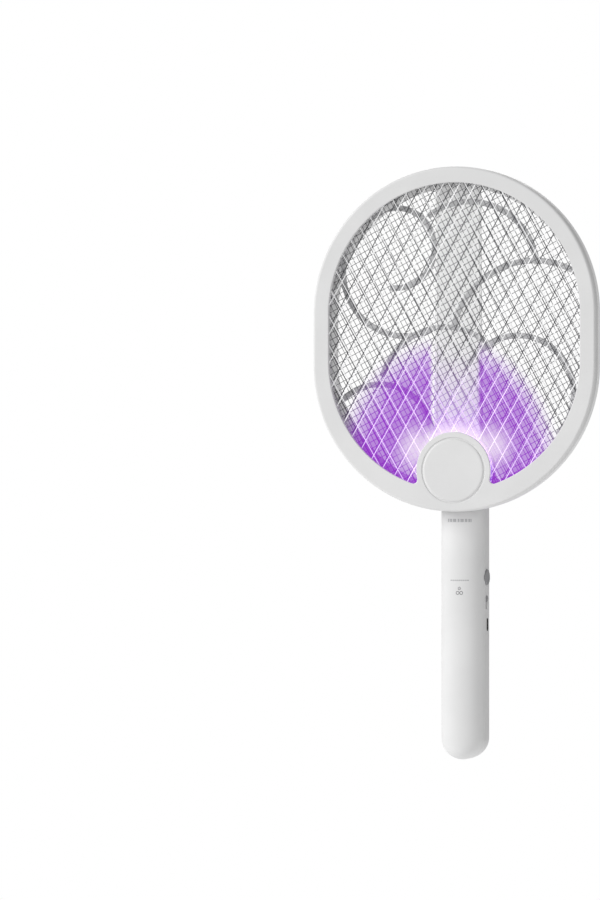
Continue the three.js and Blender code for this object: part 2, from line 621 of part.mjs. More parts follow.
// The charging socket's metal shell, closed at its back.
function chargingSocket() {
  const { y, z, halfWidth, halfLength, wall, mouth } = SOCKET;
  const hollow = slotOutline(y, z, halfWidth - wall, halfLength - wall);
  return sideBlock(slotOutline(y, z, halfWidth, halfLength), [SIDE_FACE, mouth])
    .subtract(sideBlock(hollow, [SIDE_FACE + 1, mouth + PAST]));
}

function socketTongue() {
  const { foot, setBack, halfThickness, halfWidth } = TONGUE;
  const across = [SOCKET.y - halfThickness, SOCKET.y + halfThickness];
  const along = [SOCKET.z - halfWidth, SOCKET.z + halfWidth];
  return box([SIDE_FACE + foot, SOCKET.mouth - setBack], across, along);
}

function batteryCell() {
  const { radius, length, y, topZ } = BATTERY;
  const cell = new THREE.CylinderGeometry(radius, radius, length, sidesOf(radius));
  return solid(cell.rotateX(Math.PI / 2).translate(0, y, topZ - length / 2));
}

// A welded nickel tab on one end of the cell.
function batteryTab(z) {
  const { halfWidth, halfDepth, thickness } = BATTERY_TAB;
  return box([-halfWidth, halfWidth], [BATTERY.y - halfDepth, BATTERY.y + halfDepth], [z, z + thickness]);
}

const TAB_TOP_Z = BATTERY.topZ + FIT_GAP;
const TAB_LOW_Z = BATTERY.topZ - BATTERY.length - FIT_GAP - BATTERY_TAB.thickness;

// From the upper tab straight to the board.
function positiveLead() {
  const start = TAB_TOP_Z + 1.5;
  return wire([[0, BATTERY.y, start], [-1, BATTERY.y, start + 3], [-1, 0.8, -116], [-1, 1.8, -111]], 0.6, 8);
}

// From the lower tab up beside the cell to the board.
function negativeLead() {
  const beside = BATTERY.radius + 2.3;
  const start = TAB_LOW_Z - 1.2;
  const points = [
    [3, BATTERY.y, start],
    [9, BATTERY.y, start + 0.2],
    [beside, BATTERY.y, start + 7],
    [beside, BATTERY.y, BATTERY.topZ - 4],
    [8, BATTERY.y, BATTERY.topZ + 4],
    [3, 1, -115],
    [2, 1.8, -110],
  ];
  return wire(points, 0.6, 22);
}

// The light pipe between the charge lamp on the board and the handle's front.
const indicatorLens = () => rodY(INDICATOR.radius, [HANDLE_FRONT + 0.05, 1.8], 0, INDICATOR.z);

// ---- Moving controls ------------------------------------------------------------------------------------

// A round button with a retaining flange inside the wall and a stem to its switch.
function zapButton() {
  const { radius, y, z, travel } = BUTTON;
  return union(
    rodX(radius, [CONTROL_WALL - 1, CONTROL_FACE + 1.1], y, z),
    rodX(radius + 0.8, [CONTROL_WALL - 1.6, CONTROL_WALL - 0.4], y, z),
    rodX(1.8, [TACT_TOP + travel + FIT_GAP, CONTROL_WALL - 1], y, z),
  );
}

// A plate behind the wall, and a knob with a thumb ridge that stands out of the slot.
function modeSlider() {
  const { y, z, halfWidth, knobHalf, plateHalf } = SLIDER;
  const across = [y - halfWidth - 1, y + halfWidth + 1];
  const ridge = new THREE.CylinderGeometry(1, 1, 2 * halfWidth, LEAST_SIDES);
  return union(
    box([CONTROL_WALL - 1.8, CONTROL_WALL - 0.4], across, [z - plateHalf, z + plateHalf]),
    sideBlock(slotOutline(y, z, halfWidth, knobHalf), [CONTROL_WALL - 1, CONTROL_FACE + 0.6]),
    solid(ridge.translate(CONTROL_FACE + 0.5, y, z)),
  );
}

// ---- The assembly ---------------------------------------------------------------------------------------

function finish(color, roughness, metalness = 0) {
  return new THREE.MeshStandardMaterial({ color, roughness, metalness });
}

const SHELL_WHITE = finish(0xdedede, 0.55);
const NET_METAL = finish(0x9a9c9f, 0.35, 0.9);
const CLEAR_LENS = finish(0xf2ecfa, 0.15);
const BRIGHT_STEEL = finish(0xc4c6c9, 0.3, 1);
const CONTROL_GREY = finish(0x8f9092, 0.6);
const BOARD_GREEN = finish(0x2f6b45, 0.5);
const BLACK_PART = finish(0x26272a, 0.5);
const FILM_BLUE = finish(0x3c6aa8, 0.4);
const LAMP_VIOLET = finish(0xb58cf0, 0.2);
const LEAD_RED = finish(0xb3312c, 0.5);

const swatter = new THREE.Group();
const head = new THREE.Group();
const handle = new THREE.Group();
head.position.z = PIVOT_Z;
handle.position.z = PIVOT_Z;
swatter.add(head, handle);

// Adds a named mesh to a group, placed and turned about Y inside it.
function addPiece(group, name, shape, material, position = [0, 0, 0], turn = 0) {
  const mesh = new THREE.Mesh(geometryOf(shape), material);
  mesh.name = name;
  mesh.position.set(...position);
  mesh.rotation.y = turn;
  group.add(mesh);
}

addPiece(head, "front_frame", frontFrame(), SHELL_WHITE);
addPiece(head, "rear_frame", rearFrame(), SHELL_WHITE);
addPiece(head, "front_safety_net", net(FRONT_NET, SAFETY_SPACING, [60, 120]), NET_METAL);
addPiece(head, "high_voltage_net", net(MIDDLE_NET, LIVE_SPACING, [30, 120]), NET_METAL);
addPiece(head, "rear_safety_net", net(REAR_NET, SAFETY_SPACING, [60, 120], false), NET_METAL);
addPiece(head, "front_net_spacer", netSpacer(FRONT_SPACER), SHELL_WHITE);
addPiece(head, "rear_net_spacer", netSpacer(REAR_SPACER), SHELL_WHITE);
addPiece(head, "net_lead_front", netLead(FRONT_NET, -24), BLACK_PART);
addPiece(head, "net_lead_middle", netLead(MIDDLE_NET, 204), LEAD_RED);
addPiece(head, "net_lead_rear", netLead(REAR_NET, -24), BLACK_PART);
addPiece(head, "boss_cap", bossCap(), SHELL_WHITE);
addPiece(head, "light_ring", lightRing(), CLEAR_LENS);
addPiece(head, "led_board", ledBoard(), BOARD_GREEN);
LED_ANGLES.forEach((angle, i) => {
  addPiece(head, `led_${i + 1}`, led(), LAMP_VIOLET, [0, 0, 0], -angle * DEGREE);
});
addPiece(head, "hinge_axle", hingeAxle(), BRIGHT_STEEL);
addPiece(head, "hinge_nut", hingeNut(), BRIGHT_STEEL);
addPiece(head, "stop_plate", stopPlate(), BRIGHT_STEEL);
HEAD_SCREWS.forEach(([x, z], i) => {
  addPiece(head, `head_screw_${i + 1}`, screw(HEAD_SCREW, 0.6), BRIGHT_STEEL, [x, HEAD_BACK, z]);
});

addPiece(handle, "handle_front_shell", handleFrontShell(), SHELL_WHITE);
addPiece(handle, "handle_rear_shell", handleRearShell(), SHELL_WHITE);
addPiece(handle, "hinge_bush", hingeBush(), BLACK_PART);
addPiece(handle, "wave_washer", waveWasher(), BRIGHT_STEEL);
addPiece(handle, "stop_pin", stopPin(), BRIGHT_STEEL);
addPiece(handle, "hinge_rear_cap", hingeRearCap(), SHELL_WHITE);
addPiece(handle, "hinge_lead", hingeLead(), BLACK_PART);
addPiece(handle, "main_board", block(MAIN_BOARD), BOARD_GREEN);
addPiece(handle, "side_board", block(SIDE_BOARD), BOARD_GREEN);
addPiece(handle, "step_up_transformer", transformer(), BLACK_PART);
addPiece(handle, "high_voltage_capacitor", capacitor(), FILM_BLUE);
addPiece(handle, "control_chip", controlChip(), BLACK_PART);
addPiece(handle, "tact_switch", tactSwitch(), BLACK_PART);
addPiece(handle, "slide_switch", slideSwitch(), BLACK_PART);
addPiece(handle, "charging_socket", chargingSocket(), BRIGHT_STEEL);
addPiece(handle, "socket_tongue", socketTongue(), BLACK_PART);
addPiece(handle, "battery_cell", batteryCell(), FILM_BLUE);
addPiece(handle, "battery_tab_upper", batteryTab(TAB_TOP_Z), BRIGHT_STEEL);
addPiece(handle, "battery_tab_lower", batteryTab(TAB_LOW_Z), BRIGHT_STEEL);
addPiece(handle, "positive_lead", positiveLead(), LEAD_RED);
addPiece(handle, "negative_lead", negativeLead(), BLACK_PART);
addPiece(handle, "indicator_lens", indicatorLens(), CLEAR_LENS);
HANDLE_SCREWS.forEach(([x, z], i) => {
  addPiece(handle, `handle_screw_${i + 1}`, screw(HANDLE_SCREW, 0.7), BRIGHT_STEEL, [x, HANDLE_BACK, z]);
});
addPiece(handle, "zap_button", zapButton(), CONTROL_GREY);
addPiece(handle, "mode_slider", modeSlider(), CONTROL_GREY);

export default swatter;
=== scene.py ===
"""A folding electric fly swatter in a plain pale studio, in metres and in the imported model's own frame.

The head is a flat oblong frame with three wire nets and a round boss full of violet lamps. It is hinged to
a straight handle, which carries a button, a slide switch and a charging socket on its right side.
"""

from __future__ import annotations

import json
import logging
import math
from dataclasses import dataclass
from enum import Enum
from typing import Callable, Sequence

import bmesh
import bpy
from mathutils import Matrix, Vector
from mathutils.geometry import tessellate_polygon


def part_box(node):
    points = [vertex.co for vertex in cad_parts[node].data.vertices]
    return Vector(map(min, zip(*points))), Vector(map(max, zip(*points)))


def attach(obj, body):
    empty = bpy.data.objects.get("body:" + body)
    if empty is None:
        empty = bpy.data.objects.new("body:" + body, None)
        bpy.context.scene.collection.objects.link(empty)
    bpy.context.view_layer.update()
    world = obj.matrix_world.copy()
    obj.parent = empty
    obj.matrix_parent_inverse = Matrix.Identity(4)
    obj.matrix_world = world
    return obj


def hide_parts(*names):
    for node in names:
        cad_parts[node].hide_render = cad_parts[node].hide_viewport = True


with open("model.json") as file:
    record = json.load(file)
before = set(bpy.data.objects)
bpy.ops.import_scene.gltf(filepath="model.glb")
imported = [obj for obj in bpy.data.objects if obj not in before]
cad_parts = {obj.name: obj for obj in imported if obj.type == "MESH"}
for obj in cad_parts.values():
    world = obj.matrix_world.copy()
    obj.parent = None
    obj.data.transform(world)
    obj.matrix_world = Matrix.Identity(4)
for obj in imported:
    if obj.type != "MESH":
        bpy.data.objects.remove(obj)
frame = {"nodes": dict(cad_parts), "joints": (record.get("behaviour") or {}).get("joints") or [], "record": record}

LOG = logging.getLogger("fly_swatter")
MM = 0.001
PIVOT = Vector(next(j for j in frame["joints"] if j["name"] == "head_fold")["pos_m"])

Point = tuple[float, float]
Outline = Callable[[float], list[Point]]
Profile = Sequence[Point]


class Body(Enum):
    """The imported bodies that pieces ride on."""

    HANDLE = "handle"
    HEAD = "head"
    BUTTON = "zap_button"
    SLIDER = "mode_slider"


# ---- Shader expressions --------------------------------------------------------------------------


class Signal:
    """A number that varies over a surface; arithmetic on it adds Math nodes."""

    def __init__(self, tree: Tree, socket: bpy.types.NodeSocket) -> None:
        """Wraps one output socket of a tree."""
        self.tree = tree
        self.socket = socket

    def math(self, operation: str, *values: Signal | float) -> Signal:
        """A Math node on this signal."""
        return self.tree.add("ShaderNodeMath", {"operation": operation}, dict(enumerate((self, *values))))

    def __add__(self, other: Signal | float) -> Signal:
        """This plus other."""
        return self.math("ADD", other)

    __radd__ = __add__

    def __mul__(self, other: Signal | float) -> Signal:
        """This times other."""
        return self.math("MULTIPLY", other)

    __rmul__ = __mul__

    def __sub__(self, other: Signal | float) -> Signal:
        """This minus other."""
        return self.math("SUBTRACT", other)

    def __rsub__(self, other: float) -> Signal:
        """A plain number minus this."""
        return (self * -1.0) + other

    def __truediv__(self, other: Signal | float) -> Signal:
        """This divided by other."""
        return self.math("DIVIDE", other)

    def __pow__(self, other: float) -> Signal:
        """This raised to a power."""
        return self.math("POWER", other)

    def __abs__(self) -> Signal:
        """This without its sign."""
        return self.math("ABSOLUTE")

    def ramp(self, low: float, high: float) -> Signal:
        """A smooth step from 0 at low to 1 at high.

        Args:
            low: the value where the step starts.
            high: the value where it ends.

        Returns:
            The step, between 0 and 1.
        """
        settings = {"interpolation_type": "SMOOTHSTEP"}
        return self.tree.add("ShaderNodeMapRange", settings, {0: self, 1: low, 2: high}, "Result")


class Tree:
    """A node tree that nodes are added to in one way."""

    def __init__(self, tree: bpy.types.NodeTree) -> None:
        """Wraps a material's or a world's tree."""
        self.tree = tree

    def add(
        self,
        kind: str,
        settings: dict[str, object],
        inputs: dict[str | int, object],
        output: str | int = 0,
    ) -> Signal:
        """Adds one node.

        Args:
            kind: the node's type.
            settings: its properties, set first.
            inputs: values or signals for its sockets, by name or place.
            output: which output to give back.

        Returns:
            The chosen output.
        """
        node = self.tree.nodes.new(kind)
        for key, value in settings.items():
            setattr(node, key, value)
        for key, value in inputs.items():
            if isinstance(value, Signal):
                self.tree.links.new(value.socket, node.inputs[key])
            else:
                node.inputs[key].default_value = value
        return Signal(self, node.outputs[output])


class Shader(Tree):
    """One material's tree, around a Principled surface."""

    def __init__(self, name: str) -> None:
        """Makes an empty material with one Principled surface.

        Args:
            name: the material's name.
        """
        self.material = bpy.data.materials.new(name)
        self.material.use_nodes = True
        super().__init__(self.material.node_tree)
        self.surface = self.tree.nodes["Principled BSDF"]

    def place(self) -> Signal:
        """Where a point is on the object, in metres."""
        return self.add("ShaderNodeTexCoord", {}, {}, "Object")

    def noise(self, scale: float, detail: float = 3.0, stretch: Sequence[float] = (1, 1, 1)) -> Signal:
        """Soft noise between 0 and 1.

        Args:
            scale: how many bumps there are in a metre.
            detail: how many finer layers it has.
            stretch: how closely it is packed along each axis.

        Returns:
            The noise.
        """
        factors = {0: self.place(), 1: tuple(stretch)}
        vector = self.add("ShaderNodeVectorMath", {"operation": "MULTIPLY"}, factors)
        return self.add("ShaderNodeTexNoise", {}, {"Vector": vector, "Scale": scale, "Detail": detail})

    def mix(self, factor: Signal, low: object, high: object) -> Signal:
        """Mixes two colours.

        Args:
            factor: how much of the second colour shows.
            low: the first colour, or a signal.
            high: the second colour, or a signal.

        Returns:
            The mixed colour.
        """
        node = self.tree.nodes.new("ShaderNodeMix")
        node.data_type = "RGBA"
        sockets = {"Factor_Float": factor, "A_Color": low, "B_Color": high}
        for socket in node.inputs:
            value = sockets.get(socket.identifier)
            if isinstance(value, Signal):
                self.tree.links.new(value.socket, socket)
            elif value is not None:
                socket.default_value = (*value, 1.0)
        return Signal(self, next(s for s in node.outputs if s.identifier == "Result_Color"))

    def bump(self, height: Signal, distance: float, strength: float = 1.0) -> None:
        """Feeds a height in as the surface's bump."""
        inputs = {"Height": height, "Distance": distance, "Strength": strength}
        self.feed("Normal", self.add("ShaderNodeBump", {}, inputs))

    def feed(self, name: str, signal: Signal) -> None:
        """Links a signal to one of the surface's sockets."""
        self.tree.links.new(signal.socket, self.surface.inputs[name])

    def fix(self, **values: object) -> None:
        """Sets sockets of the surface to plain values; underscores stand for spaces."""
        for name, value in values.items():
            self.surface.inputs[name.replace("_", " ")].default_value = value


# ---- Finishes ------------------------------------------------------------------------------------

Colour = tuple[float, float, float]
SHELL_WHITE: Colour = (0.80, 0.80, 0.80)


@dataclass(frozen=True)
class LampLight:
    """How the lamps' light falls on the head, measured from the boss's centre in metres."""

    near: float = 0.028
    pale: float = 0.041
    full: float = 0.070
    far: float = 0.099
    across: float = 1.15
    spine_full: float = 0.032
    spine_far: float = 0.090
    spine_half: float = 0.0185
    spot_reach: float = 0.0325
    spot_size: float = 0.022
    spot_angles: tuple[float, float] = (32.0, 150.0)
    lean: float = 0.08
    lit_depth: float = -0.0160
    dark_depth: float = -0.0150

    def position(self, shader: Shader) -> tuple[Signal, Signal, Signal]:
        """Where a point lies from the boss's centre.

        Args:
            shader: the material to work in.

        Returns:
            Its place across and along the head, and its distance, in metres.
        """
        from_pivot = shader.add(
            "ShaderNodeVectorMath", {"operation": "SUBTRACT"}, {0: shader.place(), 1: (PIVOT.x, 0, PIVOT.z)}
        )
        x = shader.add("ShaderNodeSeparateXYZ", {}, {0: from_pivot}, "X")
        z = shader.add("ShaderNodeSeparateXYZ", {}, {0: from_pivot}, "Z")
        return x, z, (x * x + z * z) ** 0.5

    def over_spine(self, shader: Shader) -> Signal:
        """How much a point lies over the pale spine, from 0 to 1."""
        x, _, _ = self.position(shader)
        return 1 - abs(x).ramp(self.spine_half * 0.85, self.spine_half * 1.1)

    def on_spine(self, shader: Shader) -> Signal:
        """How strongly the light falls on the spine, from 0 to 1."""
        _, _, reach = self.position(shader)
        return 1 - reach.ramp(self.spine_full, self.spine_far)

    def front_side(self, shader: Shader) -> Signal:
        """Whether a point of the rear frame looks towards the lamps, from 0 to 1."""
        depth = shader.add("ShaderNodeSeparateXYZ", {}, {0: shader.place()}, "Y")
        return 1 - depth.ramp(self.lit_depth, self.dark_depth)

    def masks(self, shader: Shader) -> tuple[Signal, Signal]:
        """Strength of the light, and how white it is.

        Args:
            shader: the material to work in.

        Returns:
            Strength and whiteness, both between 0 and 1.
        """
        x, z, reach = self.position(shader)
        fan = ((x * x * self.across**2 + z * z) ** 0.5 + x * self.lean).ramp(self.full, self.far)
        strength = 1 - fan
        above = z.ramp(-0.004, 0.016)
        white = (1 - reach.ramp(self.near, self.pale)) * above * 0.75
        for angle in self.spot_angles:
            turn = math.radians(angle)
            dx, dz = x - self.spot_reach * math.cos(turn), z - self.spot_reach * math.sin(turn)
            spot = 1 - ((dx * dx + dz * dz) ** 0.5).ramp(0.002, self.spot_size)
            white = white.math("MAXIMUM", spot * 0.62)
        return strength, white


@dataclass(frozen=True)
class Plastic:
    """Fine matt moulded plastic, with a faint spark-eroded grain. With lit set, painted light goes on the side
    that faces the lamps: the lamps' violet glow and an even grey fill glow as emission, and a lilac-grey tint in
    the base colour.
    """

    name: str
    colour: Colour
    roughness: float = 0.5
    grain: float = 2600.0
    depth: float = 0.00002
    # The last two fields set painted light: the strength of the painted glow, and the grey of an even painted fill
    # glow.
    lit: float = 0.0
    painted_fill_glow: float = 0.0

    def make(self) -> bpy.types.Material:
        """Makes the material.

        Returns:
            The material.
        """
        shader = Shader(self.name)
        cloud = shader.noise(26.0)
        fine = shader.noise(self.grain, 2.0)
        shade = tuple(0.965 * c for c in self.colour)
        colour = shader.mix(cloud.ramp(0.35, 0.65), shade, self.colour)
        shader.feed("Roughness", fine * 0.12 + cloud * 0.06 + (self.roughness - 0.09))
        shader.bump(fine, self.depth, 0.5)
        shader.fix(Specular_IOR_Level=0.4)
        if self.lit:
            # Painted light: a violet glow near the lamps and a grey fill glow elsewhere, as emission, on the side
            # towards the lamps only.
            _, white = LampLight().masks(shader)
            strength, front = LampLight().on_spine(shader), LampLight().front_side(shader)
            violet = shader.mix(white, (0.27, 0.23, 0.29), (0.80, 0.74, 0.82))
            glow = shader.mix(strength, (self.painted_fill_glow,) * 3, violet)
            shader.feed("Emission Color", shader.mix(front, (0, 0, 0), glow))
            shader.fix(Emission_Strength=self.lit)
            # Painted light: a lilac-grey tint in the base colour near the lamps. Only the side towards the lamps
            # takes this colour, which for the guard is a painted shade; the back keeps plain shell white.
            colour = shader.mix(strength * 0.5, colour, (0.70, 0.66, 0.73))
            colour = shader.mix(front, SHELL_WHITE, colour)
        shader.feed("Base Color", colour)
        return shader.material


@dataclass(frozen=True)
class NetWire:
    """Drawn wire, dull with long scratches, with painted light: the lamps' violet light painted on near the boss
    as base colour and emission, and an even grey painted fill glow.
    """

    name: str
    colour: Colour
    # The base colour painted on near the lamps: painted lamp light.
    painted_lamp_colour: Colour
    metallic: float = 0.3
    roughness: float = 0.42
    # The last two fields set painted light: the strength of the painted glow, and the grey of an even painted fill
    # glow.
    lit: float = 0.3
    painted_fill_glow: float = 0.0

    def make(self) -> bpy.types.Material:
        """Makes the material.

        Returns:
            The material.
        """
        shader = Shader(self.name)
        streak = shader.noise(420.0, 4.0, (1, 1, 0.2))
        fine = shader.noise(3200.0, 2.0)
        dull = tuple(0.82 * c for c in self.colour)
        colour = shader.mix(streak.ramp(0.3, 0.7), dull, self.colour)
        # Painted light: near the lamps the base colour turns to the painted lamp colour and violet emission is
        # added, paler beside the boss and over the spine; over the spine the glow fades out except close to the
        # boss; elsewhere the grey fill glow.
        strength, white = LampLight().masks(shader)
        over_spine = LampLight().over_spine(shader)
        pale = white.math("MAXIMUM", over_spine * 0.4)
        violet = shader.mix(white, (0.36, 0.06, 0.66), (0.97, 0.86, 1.0))
        near = shader.mix(pale, self.painted_lamp_colour, (0.90, 0.84, 0.93))
        strength = strength * (1 - over_spine * (1 - LampLight().on_spine(shader)))
        shader.feed("Base Color", shader.mix(strength, colour, near))
        shader.feed("Emission Color", shader.mix(strength, (self.painted_fill_glow,) * 3, violet))
        shader.feed("Roughness", streak * 0.16 + (self.roughness - 0.08))
        shader.bump(fine, 0.00001, 0.4)
        shader.fix(Metallic=self.metallic, Emission_Strength=self.lit)
        return shader.material


@dataclass(frozen=True)
class Metal:
    """Bright turned or plated metal with fine tool marks."""

    name: str
    colour: Colour
    roughness: float = 0.3

    def make(self) -> bpy.types.Material:
        """Makes the material.

        Returns:
            The material.
        """
        shader = Shader(self.name)
        marks = shader.noise(900.0, 5.0, (1, 0.15, 1))
        stain = shader.noise(160.0)
        dull = tuple(0.8 * c for c in self.colour)
        shader.feed("Base Color", shader.mix(stain.ramp(0.35, 0.7), dull, self.colour))
        shader.feed("Roughness", marks * 0.2 + (self.roughness - 0.08))
        shader.bump(marks, 0.00001, 0.5)
        shader.fix(Metallic=1.0)
        return shader.material


@dataclass(frozen=True)
class Board:
    """Circuit board lacquer over a faint net of copper tracks."""

    name: str
    colour: Colour
    tracks: float = 420.0

    def make(self) -> bpy.types.Material:
        """Makes the material.

        Returns:
            The material.
        """
        shader = Shader(self.name)
        settings = {"distance": "MANHATTAN", "feature": "F1"}
        inputs = {"Vector": shader.place(), "Scale": self.tracks}
        cells = shader.add("ShaderNodeTexVoronoi", settings, inputs, "Distance")
        track = cells.ramp(0.5, 0.56)
        bright = tuple(min(1.0, 1.5 * c + 0.02) for c in self.colour)
        shader.feed("Base Color", shader.mix(track, self.colour, bright))
        shader.feed("Roughness", shader.noise(300.0) * 0.15 + 0.25)
        shader.bump(track, 0.00003)
        shader.fix(Coat_Weight=0.3)
        return shader.material


@dataclass(frozen=True)
class Sleeve:
    """Insulation or shrink wrap: smooth, softly creased and a little shiny."""

    name: str
    colour: Colour
    roughness: float = 0.4

    def make(self) -> bpy.types.Material:
        """Makes the material.

        Returns:
            The material.
        """
        shader = Shader(self.name)
        crease = shader.noise(220.0, 4.0, (1, 1, 0.3))
        # Darker in the hollows of the creases, where the bump is low: painted shade in the creases.
        dark = tuple(0.75 * c for c in self.colour)
        shader.feed("Base Color", shader.mix(crease.ramp(0.3, 0.7), dark, self.colour))
        shader.feed("Roughness", crease * 0.2 + (self.roughness - 0.1))
        shader.bump(crease, 0.00004, 0.6)
        return shader.material


@dataclass(frozen=True)
class Lamp:
    """Clear violet resin that shines."""

    name: str
    colour: Colour
    strength: float

    def make(self) -> bpy.types.Material:
        """Makes the material.

        Returns:
            The material.
        """
        shader = Shader(self.name)
        swirl = shader.noise(500.0)
        pale = tuple(0.5 + 0.5 * c for c in self.colour)
        shader.feed("Base Color", shader.mix(swirl, self.colour, pale))
        shader.feed("Emission Color", shader.mix(swirl.ramp(0.3, 0.8), self.colour, pale))
        shader.feed("Roughness", swirl * 0.1 + 0.1)
        shader.fix(Emission_Strength=self.strength)
        return shader.material


@dataclass(frozen=True)
class PaintedGlowSheet:
    """Painted light between the nets: a glowing see-through sheet for the lamps' light, two soft violet fans,
    palest beside the boss.
    """

    name: str
    most: float = 0.57
    violet: Colour = (0.33, 0.035, 0.62)
    pale: Colour = (0.97, 0.86, 0.98)

    def make(self) -> bpy.types.Material:
        """Makes the material.

        Returns:
            The material.
        """
        shader = Shader(self.name)
        light = LampLight()
        strength, white = light.masks(shader)
        drift = shader.noise(38.0, 2.0).ramp(0.2, 0.8)
        body = strength * (1 - light.over_spine(shader) * 0.97) * (drift * 0.3 + 0.7)
        shader.feed("Alpha", body.math("MAXIMUM", white) * self.most)
        shader.feed("Emission Color", shader.mix(white, self.violet, self.pale))
        shader.fix(Base_Color=(0, 0, 0, 1), Emission_Strength=1.0, Specular_IOR_Level=0.0, Roughness=1.0)
        return shader.material


@dataclass(frozen=True)
class PaleFloor:
    """A nearly white sweep that fades out before its edge."""

    name: str
    colour: Colour = (0.93, 0.93, 0.93)
    near: float = 0.7
    far: float = 2.6

    def make(self) -> bpy.types.Material:
        """Makes the material.

        Returns:
            The material.
        """
        shader = Shader(self.name)
        cloud = shader.noise(1.5)
        reach = shader.add("ShaderNodeVectorMath", {"operation": "LENGTH"}, {0: shader.place()}, "Value")
        dull = tuple(0.99 * c for c in self.colour)
        shader.feed("Base Color", shader.mix(cloud, dull, self.colour))
        shader.feed("Alpha", 1 - reach.ramp(self.near, self.far))
        shader.fix(Roughness=0.9, Emission_Color=(1, 1, 1, 1), Emission_Strength=0.22)
        return shader.material


FINISHES = {
    "white_shell": Plastic("white_plastic", SHELL_WHITE),
    "net_wire": NetWire("live_net_wire", (0.20, 0.20, 0.21), (0.13, 0.03, 0.30)),
    "clear_lens": Lamp("lit_lens", (0.80, 0.62, 1.0), 1.4),
    "bright_steel": Metal("plated_steel", (0.62, 0.63, 0.65)),
    "control_grey": Plastic("grey_plastic", (0.34, 0.34, 0.35), 0.5),
    "board_green": Board("board_lacquer", (0.03, 0.15, 0.06)),
    "black_part": Plastic("black_plastic", (0.02, 0.02, 0.022), 0.45),
    "bush_black": Plastic("black_acetal", (0.015, 0.015, 0.017), 0.3),
    "film_blue": Sleeve("blue_film", (0.05, 0.14, 0.40), 0.3),
    "cell_wrap": Sleeve("blue_shrink_wrap", (0.05, 0.14, 0.40), 0.3),
    "ferrite": Plastic("dark_ferrite", (0.03, 0.03, 0.033), 0.7, 1200.0, 0.00006),
    "lamp_violet": Lamp("lamp_resin", (0.55, 0.2, 1.0), 8.0),
    "lead_red": Sleeve("red_insulation", (0.45, 0.03, 0.02)),
    "lead_black": Sleeve("black_insulation", (0.02, 0.02, 0.02)),
}
# The guard ribs are the same white plastic as the rear rim; on the side towards the lamps they are painted mid
# grey as painted shade, with the lamps' glow and a grey fill glow painted on as emission.
PAINTED_SHADE_GUARD_FINISH = Plastic("guard_plastic_painted_shade", (0.50, 0.50, 0.51), 0.5, lit=0.3, painted_fill_glow=0.22)
# The spine keeps the white shell colour, with painted light: a lilac-grey tint and violet glow near the lamps and
# a grey fill glow elsewhere.
SPINE_FINISH = Plastic("spine_plastic", (0.80, 0.80, 0.80), 0.5, lit=0.3, painted_fill_glow=0.55)
# The rear rim glows faintly white on the side towards the lamps: painted fill light.
REAR_RIM_FINISH = Plastic("rear_rim_plastic", (0.78, 0.78, 0.78), 0.5, lit=0.12, painted_fill_glow=1.0)
# The front and rear safety nets are the same wire in a lit and a shaded copy: the front one is painted near white
# with a grey fill glow, painted light; the rear one is painted near black, painted shade.
PAINTED_LIGHT_FRONT_WIRE = NetWire("front_net_wire_painted_light", (0.86, 0.86, 0.87), (0.92, 0.84, 0.96), 0.1, lit=0.5, painted_fill_glow=0.5)
PAINTED_SHADE_REAR_WIRE = NetWire("rear_net_wire_painted_shade", (0.07, 0.07, 0.08), (0.12, 0.03, 0.26))
# The charging socket and the sleeve in its opening are painted near black: painted shade inside the opening.
PAINTED_SHADE_BLACK = Plastic("socket_painted_shade", (0.008, 0.008, 0.009), 0.6)
DULL_LENS = Plastic("dull_lens", (0.66, 0.66, 0.67), 0.25)
OWN_FINISHES = {"charging_socket": PAINTED_SHADE_BLACK, "indicator_lens": DULL_LENS}
MARK_FINISH = Plastic("printed_grey", (0.16, 0.16, 0.17), 0.6)
PALE_MARK_FINISH = Plastic("printed_pale_grey", (0.50, 0.50, 0.51), 0.6)


# ---- Outlines and meshes -------------------------------------------------------------------------


def arc(x: float, z: float, radius: float, start: float, end: float, steps: int) -> list[Point]:
    """Points along an arc, both ends included.

    Args:
        x, z: the centre.
        radius: the radius.
        start, end: the angles in radians; end below start runs clockwise.
        steps: how many chords it has.

    Returns:
        The points.
    """
    angles = [start + (end - start) * i / steps for i in range(steps + 1)]
    return [(x + radius * math.cos(a), z + radius * math.sin(a)) for a in angles]


def joined(*runs: list[Point]) -> list[Point]:
    """One closed loop from runs of points, without repeats.

    Args:
        runs: the runs, in order.

    Returns:
        The loop.
    """
    points = [p for run in runs for p in run]
    return [p for i, p in enumerate(points) if math.dist(p, points[i - 1]) > 1e-5]


def edge_profile(
    front: float, back: float, front_edge: float, back_edge: float, steps: int = 5
) -> list[Point]:
    """A straight side with a rounded edge at each end, as [(inset, y)].

    Args:
        front, back: where the side starts and ends.
        front_edge, back_edge: the edge radii.
        steps: chords in each rounded edge.

    Returns:
        The profile, from front to back.
    """
    turn = [math.pi / 2 * i / steps for i in range(steps + 1)]
    way = 1 if back > front else -1
    first = [(front_edge * (1 - math.sin(t)), front + way * front_edge * (1 - math.cos(t))) for t in turn]
    last = [(back_edge * (1 - math.cos(t)), back - way * back_edge * (1 - math.sin(t))) for t in turn]
    return first + last


def finished(name: str, mesh: bmesh.types.BMesh, sharp_degrees: float = 40.0) -> bpy.types.Object:
    """Makes an object of a mesh, with its faces outwards, smooth between sharp edges.

    Args:
        name: the piece's name.
        mesh: its mesh in millimetres, in the row frame.
        sharp_degrees: the angle from which an edge stays sharp.

    Returns:
        The object.
    """
    bmesh.ops.recalc_face_normals(mesh, faces=mesh.faces[:])
    mesh.transform(Matrix.Scale(MM, 4))
    data = bpy.data.meshes.new(name)
    mesh.to_mesh(data)
    mesh.free()
    data.shade_smooth()
    data.set_sharp_from_angle(angle=math.radians(sharp_degrees))
    piece = bpy.data.objects.new(name, data)
    bpy.context.scene.collection.objects.link(piece)
    return piece


